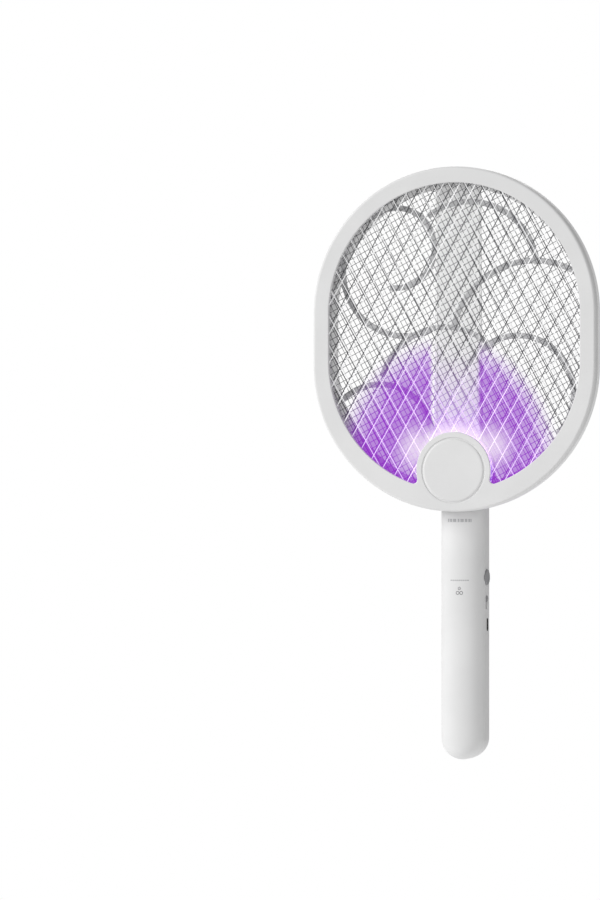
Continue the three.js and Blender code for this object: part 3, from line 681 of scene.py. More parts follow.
def even_normals(piece: bpy.types.Object) -> None:
    """Lets each flat face set the shading of the vertices round it.

    Args:
        piece: the piece.
    """
    modifier = piece.modifiers.new("even_normals", "WEIGHTED_NORMAL")
    modifier.keep_sharp = True
    modifier.weight = 100


def loft(mesh: bmesh.types.BMesh, rings: Sequence[Sequence[Vector]], closed: bool = False) -> list[list]:
    """Joins rings of points with quads.

    Args:
        mesh: the mesh to add to.
        rings: closed loops of equal length.
        closed: whether the last ring joins the first.

    Returns:
        The rings' vertices.
    """
    made = [[mesh.verts.new(point) for point in ring] for ring in rings]
    pairs = list(zip(made, made[1:])) + ([(made[-1], made[0])] if closed else [])
    for low, high in pairs:
        for i in range(len(low)):
            mesh.faces.new((low[i - 1], low[i], high[i], high[i - 1]))
    return made


def add_slab(mesh: bmesh.types.BMesh, boundaries: Sequence[tuple[Outline, Profile]]) -> None:
    """Adds a plate with holes.

    Args:
        mesh: the mesh to add to.
        boundaries: the outer outline and then each hole's, each with its side's profile as [(inset, y)].
            An outline gives a loop of points, moved into the material by its inset.
    """
    walls = []
    for outline, profile in boundaries:
        rings = [[Vector((x, y, z)) for x, z in outline(inset)] for inset, y in profile]
        walls.append(loft(mesh, rings))
    for end in (0, -1):
        loops = [wall[end] for wall in walls]
        corners = [vertex for loop in loops for vertex in loop]
        flat = [[Vector((v.co.x, v.co.z, 0)) for v in loop] for loop in loops]
        for triangle in tessellate_polygon(flat):
            mesh.faces.new([corners[i] for i in triangle])


def lathe(mesh: bmesh.types.BMesh, profile: Profile, place: Matrix, steps: int = 72) -> None:
    """Adds a turned solid.

    Args:
        mesh: the mesh to add to.
        profile: [(radius, height)], starting and ending on the axis.
        place: takes the turning axis Z to where the solid stands.
        steps: chords in a full turn.
    """
    rings = []
    for radius, height in profile[1:-1]:
        points = arc(0, 0, radius, 0, 2 * math.pi * (1 - 1 / steps), steps - 1)
        rings.append([place @ Vector((x, y, height)) for x, y in points])
    made = loft(mesh, rings)
    for ring, (_, height) in ((made[0], profile[0]), (made[-1], profile[-1])):
        tip = mesh.verts.new(place @ Vector((0, 0, height)))
        for i in range(len(ring)):
            mesh.faces.new((ring[i - 1], ring[i], tip))


def post(radius: float, top: float, foot: float) -> list[Point]:
    """A plain round post's profile for lathe."""
    return [(0, top), (radius, top), (radius, foot), (0, foot)]


def facing_front(x: float, y: float, z: float) -> Matrix:
    """Stands a turned solid at a point, with its top towards the front."""
    return Matrix.Translation((x, y, z)) @ Matrix.Rotation(math.pi / 2, 4, "X")


def facing_right(x: float, y: float, z: float) -> Matrix:
    """Stands a turned solid at a point, with its top towards the right side."""
    return Matrix.Translation((x, y, z)) @ Matrix.Rotation(math.pi / 2, 4, "Y")


def carve(piece: bpy.types.Object, cutter: bmesh.types.BMesh, operation: str = "DIFFERENCE") -> None:
    """Cuts a solid out of a piece, or joins it on, and keeps the result as the piece's mesh.

    Args:
        piece: the piece.
        cutter: the other solid, in millimetres.
        operation: the boolean's operation.
    """
    other = finished("cutter", cutter)
    modifier = piece.modifiers.new("carve", "BOOLEAN")
    modifier.operation, modifier.object, modifier.solver = operation, other, "EXACT"
    modifier.use_self = False
    depsgraph = bpy.context.evaluated_depsgraph_get()
    data = bpy.data.meshes.new_from_object(piece.evaluated_get(depsgraph))
    piece.modifiers.clear()
    piece.data = data
    bpy.data.objects.remove(other)


def settle(
    piece: bpy.types.Object, body: Body, slot: str, material: bpy.types.Material, *nodes: str
) -> None:
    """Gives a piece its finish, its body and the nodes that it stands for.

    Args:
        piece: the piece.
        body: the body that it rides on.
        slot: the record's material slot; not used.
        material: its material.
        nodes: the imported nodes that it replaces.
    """
    piece.data.materials.clear()
    piece.data.materials.append(material)
    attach(piece, body.value)
    if nodes:
        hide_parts(*nodes)
    LOG.info("%s on %s, %d faces", piece.name, body.value, len(piece.data.polygons))


# ---- The head ------------------------------------------------------------------------------------


@dataclass
class HeadShape:
    """The head's outline, in millimetres from the hinge axis."""

    radius: float = 105.0
    lower_z: float = 75.5
    upper_z: float = 112.5
    lower_extra: float = 3.4
    collar: float = 27.6
    fillet: float = 3.0
    pivot_z: float = PIVOT.z / MM

    def oblong(self, inset: float) -> list[Point]:
        """The whole outline, moved inwards.

        Args:
            inset: how far inwards.

        Returns:
            The loop, in the row frame.
        """
        radius = self.radius - inset
        top, low = self.pivot_z + self.upper_z, self.pivot_z + self.lower_z
        return joined(arc(0, top, radius, 0, math.pi, 96), arc(0, low, radius, math.pi, 2 * math.pi, 96))

    def window(self, inset: float, collar: float) -> list[Point]:
        """The window, with the collar's bite and two filleted lobes.

        Args:
            inset: from the head's outline to the window's edge.
            collar: the collar's radius.

        Returns:
            The loop, in the row frame.
        """
        radius = self.radius - inset
        low = self.lower_z + self.lower_extra
        near, far = collar + self.fillet, radius - self.fillet
        fz = (near**2 - far**2 + low**2) / (2 * low)
        fx = math.sqrt(near**2 - fz**2)
        rim, neck = math.atan2(fz - low, fx), math.atan2(fz, fx)
        turn, half, dz = 2 * math.pi, math.pi, self.pivot_z
        return joined(
            arc(0, dz + self.upper_z, radius, 0, half, 90),
            arc(0, dz + low, radius, half, half - rim, 40),
            arc(-fx, dz + fz, self.fillet, half - rim, turn - neck, 14),
            arc(0, dz, collar, half - neck, neck, 72),
            arc(fx, dz + fz, self.fillet, half + neck, turn + rim, 14),
            arc(0, dz + low, radius, rim, 0, 40),
        )

    def hole(self, radius: float) -> Outline:
        """A round hole at the hinge axis, growing with its inset."""
        return lambda inset: arc(0, self.pivot_z, radius + inset, 0, 2 * math.pi * 95 / 96, 95)

    def opening(self, inset: float, collar: float) -> Outline:
        """The window as a hole that grows with its inset."""
        return lambda grow: self.window(inset - grow, collar - grow)

    def holds(self, x: float, z: float, inset: float, collar: float) -> bool:
        """Whether a point from the hinge axis lies in the nets' area."""
        middle = min(max(z, self.lower_z + self.lower_extra), self.upper_z)
        return math.hypot(x, z - middle) < self.radius - inset and math.hypot(x, z) > collar


@dataclass
class Head:
    """The head's two frames and the boss's cover."""

    shape: HeadShape
    rim: float = 11.5
    rear_rim: float = 14.5
    wall: float = 2.0
    edge: float = 1.8
    parting: float = 0.15
    cap_radius: float = 23.2
    rib_width: float = 4.2
    screw_seat: float = 2.4
    screw_seat_depth: float = 1.5
    spine_halves: tuple[float, float] = (18.0, 16.8)
    spine_low: float = 21.0
    lip_depth: float = 0.4
    lip_radius: float = 0.6
    ribs: tuple = (
        ((-46.5, 160), 28.8, (-99, 118)),
        ((-40, 143), 46.4, (110, 294)),
        ((-10, 54), 48.8, (44, 164)),
        ((-59, 22), 40.0, (-2, 134)),
        ((44, 55), 41.5, (-44, 152)),
        ((56, 89), 61.0, (44, 166)),
        ((8, 142), 50.7, (6, 127)),
    )

    def __post_init__(self) -> None:
        """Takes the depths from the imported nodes."""
        self.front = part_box("front_frame")[0].y / MM
        self.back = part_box("rear_frame")[1].y / MM
        self.middle = (self.front + self.back) / 2

    def build(self) -> None:
        """Builds and dresses the head's mouldings."""
        white = FINISHES["white_shell"].make()
        guard = PAINTED_SHADE_GUARD_FINISH.make()
        settle(self.front_frame(), Body.HEAD, "white_shell", white, "front_frame")
        settle(self.rear_rim_piece(), Body.HEAD, "white_shell", REAR_RIM_FINISH.make(), "rear_frame")
        settle(self.guard_ribs(), Body.HEAD, "white_shell", guard, "rear_frame")
        settle(self.spine(), Body.HEAD, "white_shell", SPINE_FINISH.make(), "rear_frame")
        settle(self.boss_cap(), Body.HEAD, "white_shell", white, "boss_cap")

    def front_frame(self) -> bpy.types.Object:
        """The front half: rim, window, collar and outer wall.

        Returns:
            The piece.
        """
        front, plate = self.front, self.front + self.wall
        end = self.middle - self.parting
        outside = edge_profile(front, end, self.edge, 0.35, 8)
        inside = [(self.wall - 0.3, end), (self.wall, end - 0.3), (self.wall, plate)]
        mesh = bmesh.new()
        side = edge_profile(front, plate, 0.6, 0.2)
        boundaries = [
            (self.shape.oblong, outside + inside),
            (self.shape.opening(self.rim, self.shape.collar), side),
            (self.shape.hole(self.cap_radius + 0.22), side),
        ]
        add_slab(mesh, boundaries)
        piece = finished("head_front_frame", mesh)
        even_normals(piece)
        return piece

    def rear_rim_piece(self) -> bpy.types.Object:
        """The rear half's rim and boss, with the recess for the stop plate.

        Returns:
            The piece.
        """
        back, plate = self.back, self.back - self.wall - 0.3
        end = self.middle + self.parting
        outside = edge_profile(back, end, self.edge, 0.35, 8)
        inside = [(self.wall - 0.3, end), (self.wall, end + 0.3), (self.wall, plate)]
        mesh = bmesh.new()
        boundaries = [
            (self.shape.oblong, outside + inside),
            (self.shape.opening(self.rear_rim, self.shape.collar), edge_profile(back, plate, 0.5, 0.3)),
            (self.shape.hole(13.9), edge_profile(back, plate, 0.3, 0.0)),
        ]
        add_slab(mesh, boundaries)
        piece = finished("head_rear_rim", mesh)
        self.drill_screw_seats(piece)
        even_normals(piece)
        return piece

    def drill_screw_seats(self, piece: bpy.types.Object) -> None:
        """Opens the round seats of the head's screws.

        Args:
            piece: the rear rim.
        """
        cutters = bmesh.new()
        for name in sorted(n for n in frame["nodes"] if n.startswith("head_screw_")):
            low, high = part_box(name)
            x, z = (low.x + high.x) / 2 / MM, (low.z + high.z) / 2 / MM
            place = facing_front(x, self.back, z)
            lathe(cutters, post(self.screw_seat, self.screw_seat_depth, -3), place, 32)
        carve(piece, cutters)

    def guard_ribs(self) -> bpy.types.Object:
        """The curved ribs behind the nets.

        Returns:
            The piece.
        """
        mesh = bmesh.new()
        for i, (centre, radius, span) in enumerate(self.ribs):
            step = 0.03 * i
            side = edge_profile(self.back - 0.15 - step, self.back - self.wall - 0.28 - step, 0.7, 0.7, 4)
            add_slab(mesh, [(self.rib_outline(centre, radius, span), side)])
        piece = finished("guard_ribs", mesh, 50.0)
        even_normals(piece)
        return piece

    def rib_outline(self, centre: Point, radius: float, span: Point) -> Outline:
        """One rib's outline.

        Args:
            centre: the centre of its curve.
            radius: the curve's radius.
            span: the curve's two ends, in degrees.

        Returns:
            The outline as a function of its inset.
        """

        def outline(inset: float) -> list[Point]:
            """The rib's loop, moved inwards."""
            half = self.rib_width / 2 - inset
            start, end = (math.radians(a) for a in span)
            x, z = centre[0], centre[1] + self.shape.pivot_z
            outer = arc(x, z, radius + half, start, end, 72)
            return joined(outer, arc(x, z, radius - half, end, start, 72))

        return outline

    def spine(self) -> bpy.types.Object:
        """The broad strip up the middle, with a raised lip along each side.

        Returns:
            The piece.
        """
        mesh = bmesh.new()
        plate = self.back - self.wall - 0.3
        top, low = self.shape.upper_z + self.shape.radius - self.wall - 1, self.spine_low
        dz = self.shape.pivot_z

        def outline(inset: float) -> list[Point]:
            """The strip's four corners, moved inwards."""
            foot, tip = (half - inset for half in self.spine_halves)
            return [(-foot, low + dz), (foot, low + dz), (tip, top + dz), (-tip, top + dz)]

        add_slab(mesh, [(outline, edge_profile(self.back - 0.12, plate + 0.2, 0.6, 0.6, 4))])
        for x_low, x_high in ((-16.2, -15.1), (16.2, 15.1)):
            start = Vector((x_low, plate + self.lip_depth, low + dz + 8))
            end = Vector((x_high, plate + self.lip_depth, top + dz - 10))
            add_wire(mesh, start, end, self.lip_radius, 12)
        piece = finished("guard_spine", mesh, 50.0)
        even_normals(piece)
        return piece

    def boss_cap(self) -> bpy.types.Object:
        """The round cover, very slightly dished, with a rounded edge.

        Returns:
            The piece.
        """
        low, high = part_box("boss_cap")
        proud = (self.front - low.y / MM) - 0.05
        radius = self.cap_radius
        turn = [math.pi / 2 * i / 6 for i in range(7)]
        wide, deep = 1.5, proud + 0.5
        edge = [(radius - 0.7 - wide + wide * math.sin(t), proud - deep + deep * math.cos(t)) for t in turn]
        edge += [(radius + 0.19, -0.5), (radius + 0.19, -1.1), (radius, -1.2)]
        face = [(0, proud - 0.1), (6, proud - 0.09), (14, proud - 0.05), (19, proud - 0.01)]
        under = [(radius, -1.6), (21.0, -1.6), (21.0, -4.2), (19.2, -4.2), (19.2, -1.5), (0, -1.5)]
        mesh = bmesh.new()
        lathe(mesh, face + edge + under, facing_front(0, self.front, self.shape.pivot_z), 128)
        piece = finished("boss_cover", mesh)
        even_normals(piece)
        return piece


def add_wire(mesh: bmesh.types.BMesh, start: Vector, end: Vector, radius: float, sides: int = 8) -> None:
    """Adds a straight round wire with closed ends.

    Args:
        mesh: the mesh to add to.
        start, end: its ends.
        radius: its radius.
        sides: how many sides its section has.
    """
    along = (end - start).normalized()
    across = along.cross(Vector((0, 1, 0))).normalized()
    third = along.cross(across)
    ring = arc(0, 0, radius, 0, 2 * math.pi * (1 - 1 / sides), sides - 1)
    rings = [[at + across * u + third * v for u, v in ring] for at in (start, end)]
    made = loft(mesh, rings)
    mesh.faces.new(made[0])
    mesh.faces.new(made[1])


@dataclass
class Net:
    """One net: a border band and two layers of straight wires."""

    node: str
    angles: tuple[float, float]
    spacings: tuple[float, float]
    wire: float
    offsets: tuple[float, float] = (0.0, 0.0)
    inset: float = 9.0
    collar: float = 26.8
    centre: float = 94.0
    band_outside: Point = (7.8, 26.3)
    band_inside: Point = (9.6, 27.0)
    reach: float = 130.0
    step: float = 0.4
    steps: int = 340
    fewest_steps: int = 6

    def build(self, shape: HeadShape, finish: NetWire) -> None:
        """Builds and dresses the net.

        Args:
            shape: the head's outline.
            finish: the wires' finish.
        """
        low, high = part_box(self.node)
        front, back = low.y / MM, high.y / MM
        mesh = bmesh.new()
        layers = (front + self.wire, back - self.wire)
        for angle, spacing, offset, y in zip(self.angles, self.spacings, self.offsets, layers):
            self.add_layer(mesh, shape, math.radians(angle), spacing, offset, y)
        side = [(0, front + 0.1), (0, back - 0.1)]
        outside = shape.window(*self.band_outside)
        add_slab(mesh, [(lambda inset: outside, side), (shape.opening(*self.band_inside), side)])
        piece = finished(self.node + "_wires", mesh, 60.0)
        piece.visible_shadow = False
        settle(piece, Body.HEAD, "net_wire", finish.make(), self.node)

    def add_layer(
        self,
        mesh: bmesh.types.BMesh,
        shape: HeadShape,
        angle: float,
        spacing: float,
        offset: float,
        y: float,
    ) -> None:
        """Adds one layer of parallel wires, each cut where it leaves the net's area.

        Args:
            mesh: the mesh to add to.
            shape: the head's outline.
            angle: the wires' direction.
            spacing: from wire to wire.
            offset: how far the first is moved, in spacings.
            y: the layer's depth.
        """
        along, across = (math.cos(angle), math.sin(angle)), (-math.sin(angle), math.cos(angle))
        count = int(self.reach / spacing) + 1
        for i in range(-count, count + 1):
            shift = (i + offset) * spacing
            inside = []
            for k in range(-self.steps, self.steps + 1):
                x = along[0] * k * self.step + across[0] * shift
                z = along[1] * k * self.step + across[1] * shift + self.centre
                if shape.holds(x, z, self.inset, self.collar):
                    inside.append((x, z))
                elif inside:
                    self.add_run(mesh, shape, inside, y)
                    inside = []

    def add_run(self, mesh: bmesh.types.BMesh, shape: HeadShape, inside: list[Point], y: float) -> None:
        """Adds one wire through a run of points, unless it is very short.

        Args:
            mesh: the mesh to add to.
            shape: the head's outline.
            inside: the run's points.
            y: the layer's depth.
        """
        if len(inside) < self.fewest_steps:
            return
        start, end = (Vector((x, y, z + shape.pivot_z)) for x, z in (inside[0], inside[-1]))
        add_wire(mesh, start, end, self.wire, 6)


@dataclass
class LampGlow:
    """The light that hangs between the front net and the live net."""

    thickness: float = 0.1

    def build(self, shape: HeadShape) -> None:
        """Builds and dresses the glow.

        Args:
            shape: the head's outline.
        """
        y = (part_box("front_safety_net")[1].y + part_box("high_voltage_net")[0].y) / 2 / MM
        side = [(0, y - self.thickness / 2), (0, y + self.thickness / 2)]
        mesh = bmesh.new()
        # A thin see-through sheet that glows: painted light, not a lamp.
        add_slab(mesh, [(lambda inset: shape.window(10.6, 27.9), side)])
        piece = finished("lamp_glow", mesh)
        piece.visible_shadow = False
        settle(piece, Body.HEAD, "clear_lens", PaintedGlowSheet("painted_violet_glow").make())


# ---- The handle ----------------------------------------------------------------------------------


@dataclass
class Handle:
    """The handle's two shells, its controls and its marks, in millimetres from the hinge axis."""

    half_width: float = 15.8
    length: float = 208.0
    seam: float = -3.5
    corner: float = 3.5
    end_round: float = 9.0
    wall: float = 2.0
    lip: float = 0.15
    turret_radius: float = 14.6
    turret_foot: float = -8.0
    lead_bore: float = 8.3
    lens_hole: float = 1.1
    button_hole: float = 5.75
    slider_slot: Point = (1.9, 5.1)
    slider_drop: float = 2.5
    socket_slot: Point = (1.95, 4.8)
    liner_outside: Point = (1.93, 4.78)
    liner_inside: Point = (1.7, 4.55)
    liner_span: Point = (13.9, 15.76)
    cap_seat: float = 12.3
    screw_seat: float = 3.0
    screw_seat_depth: float = 1.9
    sharp_degrees: float = 38.0
    bars_z: float = -36.0
    bars_half: float = 1.15
    dashes_z: float = -79.0
    dash_pitch: float = 1.55
    dash_count: int = 9
    rings_z: float = -88.0
    bars: tuple = (
        (-8.4, 0.6),
        (-6.4, 0.9),
        (-3.6, 1.3),
        (-0.6, 0.7),
        (2.0, 1.2),
        (4.9, 0.9),
        (7.6, 1.1),
    )
    pivot_z: float = PIVOT.z / MM

    def __post_init__(self) -> None:
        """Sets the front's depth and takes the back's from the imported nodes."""
        self.front = -13.0
        self.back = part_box("handle_rear_shell")[1].y / MM
        self.low, self.high = -self.length, self.half_width

    def heights(self) -> list[float]:
        """Heights of the rings, close together at the round ends.

        Returns:
            The heights, from the foot up.
        """
        turn = [math.pi / 2 * i / 20 for i in range(21)]
        reach = self.half_width
        bottom = [self.low + reach * (1 - math.cos(t)) for t in turn]
        top = [self.high - reach * (1 - math.cos(t)) for t in reversed(turn)]
        bottom[0], top[-1] = self.low + 0.02, self.high - 0.02
        straight = [self.low + reach + (self.high - self.low - 2 * reach) * i / 24 for i in range(1, 24)]
        return bottom + straight + top

    def width(self, z: float, inset: float = 0.0) -> float:
        """Half the width at a height.

        Args:
            z: the height.
            inset: how far inside the surface.

        Returns:
            Half the width.
        """
        past = max(z, 0) + min(z - (self.half_width + self.low), 0)
        return max(math.sqrt(max(self.half_width**2 - past**2, 0)) - inset, 0.04)

    def depth(self, z: float, full: float, inset: float = 0.0) -> float:
        """How far the surface stands from the seam at a height.

        Args:
            z: the height.
            full: the depth away from the ends.
            inset: how far inside the surface.

        Returns:
            The depth.
        """
        to_end = min(z - self.low, self.high - z)
        into = max(self.end_round - to_end, 0)
        drop = self.end_round - math.sqrt(max(self.end_round**2 - into**2, 0))
        return max(full - drop - inset, 0.04)

    def crown(self, x: float, z: float) -> float:
        """The curved front's y at a point."""
        share = math.sqrt(max(1 - (x / self.width(z)) ** 2, 0))
        return self.seam - self.depth(z, self.seam - self.front) * share

    def front_ring(self, z: float) -> list[Vector]:
        """The front shell's section at a height, outside and then inside.

        Args:
            z: the height.

        Returns:
            The closed loop.
        """
        base = self.seam - self.lip
        loop = []
        for inset, way in ((0.0, 1), (self.wall, -1)):
            width, depth = self.width(z, inset), self.depth(z, self.seam - self.front, inset) - self.lip
            points = arc(0, 0, 1, 0, math.pi, 60)[::way]
            edge = 0.8 if way > 0 else 0.0
            for i, (c, s) in enumerate(points):
                tuck = min(edge, width / 3) * max(1 - s / 0.1, 0) ** 2 if edge else 0
                loop.append(Vector((c * (width - tuck), base - s * depth, z + self.pivot_z)))
        return loop

    def rear_ring(self, z: float) -> list[Vector]:
        """The rear shell's section at a height, outside and then inside.

        Args:
            z: the height.

        Returns:
            The closed loop.
        """
        base = self.seam + self.lip
        loop = []
        for inset, way in ((0.0, 1), (self.wall, -1)):
            width, depth = self.width(z, inset), self.depth(z, self.back - self.seam, inset) - self.lip
            corner = min(self.corner - inset * 0.5, width * 0.9, depth * 0.8)
            tuck = min(1.2, width / 3) if way > 0 else 0.0
            right = [(width - tuck, 0), (width - tuck * 0.2, min(1.1, depth * 0.3))]
            right.append((width, min(1.6, depth * 0.4)))
            right += arc(width - corner, depth - corner, corner, 0, math.pi / 2, 10)
            section = right + [(-x, y) for x, y in reversed(right)]
            loop += [Vector((x, base + y, z + self.pivot_z)) for x, y in section[::way]]
        return loop

    def shell(self, name: str, ring: Callable[[float], list[Vector]]) -> bpy.types.Object:
        """One shell, lofted through its sections and closed at both ends.

        Args:
            name: the piece's name.
            ring: gives the section at a height.

        Returns:
            The piece.
        """
        mesh = bmesh.new()
        made = loft(mesh, [ring(z) for z in self.heights()])
        mesh.faces.new(made[0])
        mesh.faces.new(made[-1])
        bmesh.ops.triangulate(mesh, faces=mesh.faces[:])
        return finished(name, mesh)

    def build(self) -> None:
        """Builds and dresses the handle."""
        white = FINISHES["white_shell"].make()
        settle(self.front_shell(), Body.HANDLE, "white_shell", white, "handle_front_shell")
        settle(self.rear_shell(), Body.HANDLE, "white_shell", white, "handle_rear_shell")
        settle(self.rear_cap(), Body.HANDLE, "white_shell", white, "hinge_rear_cap")
        settle(self.socket_liner(), Body.HANDLE, "black_part", PAINTED_SHADE_BLACK.make())
        self.marks()

    def socket_liner(self) -> bpy.types.Object:
        """A near-black sleeve that lines the charging opening: painted shade inside it.

        Returns:
            The piece.
        """
        socket = self.middle_of("charging_socket")
        sleeve, mouth = bmesh.new(), bmesh.new()
        self.add_slot(sleeve, socket.y, socket.z, *self.liner_outside, self.liner_span)
        self.add_slot(mouth, socket.y, socket.z, *self.liner_inside)
        piece = finished("charging_liner", sleeve)
        carve(piece, mouth)
        even_normals(piece)
        return piece

    def front_shell(self) -> bpy.types.Object:
        """The crowned front, with the turret that meets the head.

        Returns:
            The piece.
        """
        piece = self.shell("handle_front", self.front_ring)
        turret = bmesh.new()
        turret_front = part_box("handle_front_shell")[0].y / MM
        foot = facing_front(0, self.turret_foot, self.pivot_z)
        tall, wide = self.turret_foot - turret_front, self.turret_radius
        profile = [(0, tall), (wide - 0.7, tall), (wide - 0.2, tall - 0.2), (wide, tall - 0.7)]
        profile += [(wide, 0), (0, 0)]
        lathe(turret, profile, foot, 96)
        carve(piece, turret, "UNION")
        bore = bmesh.new()
        lathe(bore, post(self.lead_bore, 12, -12), foot, 64)
        low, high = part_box("indicator_lens")
        spot = facing_front(0, self.front, (low.z + high.z) / 2 / MM)
        lathe(bore, post(self.lens_hole, 1, -6), spot, 24)
        carve(piece, bore)
        piece.data.shade_smooth()
        piece.data.set_sharp_from_angle(angle=math.radians(self.sharp_degrees))
        even_normals(piece)
        return piece

    def rear_shell(self) -> bpy.types.Object:
        """The flat-sided back, with the openings for the controls and the hinge's cover.

        Returns:
            The piece.
        """
        piece = self.shell("handle_rear", self.rear_ring)
        cutters = bmesh.new()
        controls = ("zap_button", "mode_slider", "charging_socket")
        button, slider, socket = (self.middle_of(name) for name in controls)
        side = self.half_width
        lathe(cutters, post(self.button_hole, 3, -4), facing_right(side, button.y, button.z), 64)
        self.add_slot(cutters, slider.y, slider.z - self.slider_drop, *self.slider_slot)
        self.add_slot(cutters, socket.y, socket.z, *self.socket_slot)
        cap = facing_front(0, self.back, self.pivot_z)
        lathe(cutters, post(self.cap_seat, 3, -3), cap, 72)
        for name in sorted(n for n in frame["nodes"] if n.startswith("handle_screw_")):
            low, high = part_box(name)
            place = facing_front((low.x + high.x) / 2 / MM, self.back, (low.z + high.z) / 2 / MM)
            lathe(cutters, post(self.screw_seat, self.screw_seat_depth, -3), place, 36)
        carve(piece, cutters)
        piece.data.shade_smooth()
        piece.data.set_sharp_from_angle(angle=math.radians(self.sharp_degrees))
        even_normals(piece)
        return piece

    def middle_of(self, node: str) -> Vector:
        """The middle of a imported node, in millimetres."""
        low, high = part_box(node)
        return (low + high) / 2 / MM

    def add_slot(
        self,
        mesh: bmesh.types.BMesh,
        y: float,
        z: float,
        half: float,
        long_half: float,
        span: Point = (11.8, 18.8),
    ) -> None:
        """Adds a round-ended block across the right wall.

        Args:
            mesh: the mesh to add to.
            y, z: the slot's middle.
            half: half its width.
            long_half: half its length.
            span: the x of its two ends.
        """
        loop = arc(y, z + long_half - half, half, 0, math.pi, 14)
        loop += arc(y, z - long_half + half, half, math.pi, 2 * math.pi, 14)
        made = loft(mesh, [[Vector((x, a, b)) for a, b in loop] for x in span])
        mesh.faces.new(made[0])
        mesh.faces.new(made[1])

    def rear_cap(self) -> bpy.types.Object:
        """The round cover over the hinge, with a shallow ring groove.

        Returns:
            The piece.
        """
        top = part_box("hinge_rear_cap")[1].y / MM
        profile = [(0, 0), (8.6, 0), (8.8, 0.25), (9.3, 0.25), (9.5, 0), (11.3, 0), (11.8, 0.2), (12, 0.6)]
        profile += [(12, 2), (10.5, 2), (10.5, 4.4), (9, 4.4), (9, 1.8), (0, 1.8)]
        mesh = bmesh.new()
        place = Matrix.Translation((0, top, self.pivot_z)) @ Matrix.Rotation(math.pi / 2, 4, "X")
        lathe(mesh, profile, place, 96)
        piece = finished("hinge_cover", mesh)
        even_normals(piece)
        return piece

    def marks(self) -> None:
        """Prints a few plain marks on the curved front: bars, a thin rule and two small rings."""
        pale, dark = PALE_MARK_FINISH.make(), MARK_FINISH.make()
        bars = bmesh.new()
        for x, half in self.bars:
            self.add_print(bars, [(x - half, self.bars_z), (x + half, self.bars_z)], self.bars_half)
        settle(finished("top_mark", bars), Body.HANDLE, "control_grey", pale)
        rule = bmesh.new()
        for i in range(self.dash_count):
            x = self.dash_pitch * (i - (self.dash_count - 1) / 2)
            self.add_print(rule, [(x + end, self.dashes_z) for end in (-0.6, 0, 0.6)], 0.42)
        settle(finished("row_of_dashes", rule), Body.HANDLE, "control_grey", pale)
        rings = bmesh.new()
        for x in (-1.35, 1.35):
            self.add_print(rings, arc(x, self.rings_z, 1.1, 0, 2 * math.pi, 28), 0.2)
        settle(finished("ring_mark", rings), Body.HANDLE, "control_grey", dark)

    def add_print(self, mesh: bmesh.types.BMesh, path: list[Point], half: float) -> None:
        """Adds a thin raised band along a path on the curved front.

        Args:
            mesh: the mesh to add to.
            path: the path's points, across and along the handle.
            half: half the band's width.
        """
        closed = math.dist(path[0], path[-1]) < 1e-6
        points = path[:-1] if closed else path
        rings = []
        for i, (x, z) in enumerate(points):
            before = points[i - 1] if closed or i else points[0]
            after = points[(i + 1) % len(points)] if closed or i < len(points) - 1 else points[-1]
            along = Vector((after[0] - before[0], after[1] - before[1])).normalized()
            side = Vector((-along.y, along.x)) * half
            corners = ((side, -0.05), (side, 0.1), (-side, 0.1), (-side, -0.05))
            ring = []
            for aside, deep in corners:
                a, b = x + aside.x, z + aside.y
                ring.append(Vector((a, self.crown(a, b) + deep, b + self.pivot_z)))
            rings.append(ring)
        made = loft(mesh, rings, closed)
        if not closed:
            mesh.faces.new(made[0])
            mesh.faces.new(made[-1])


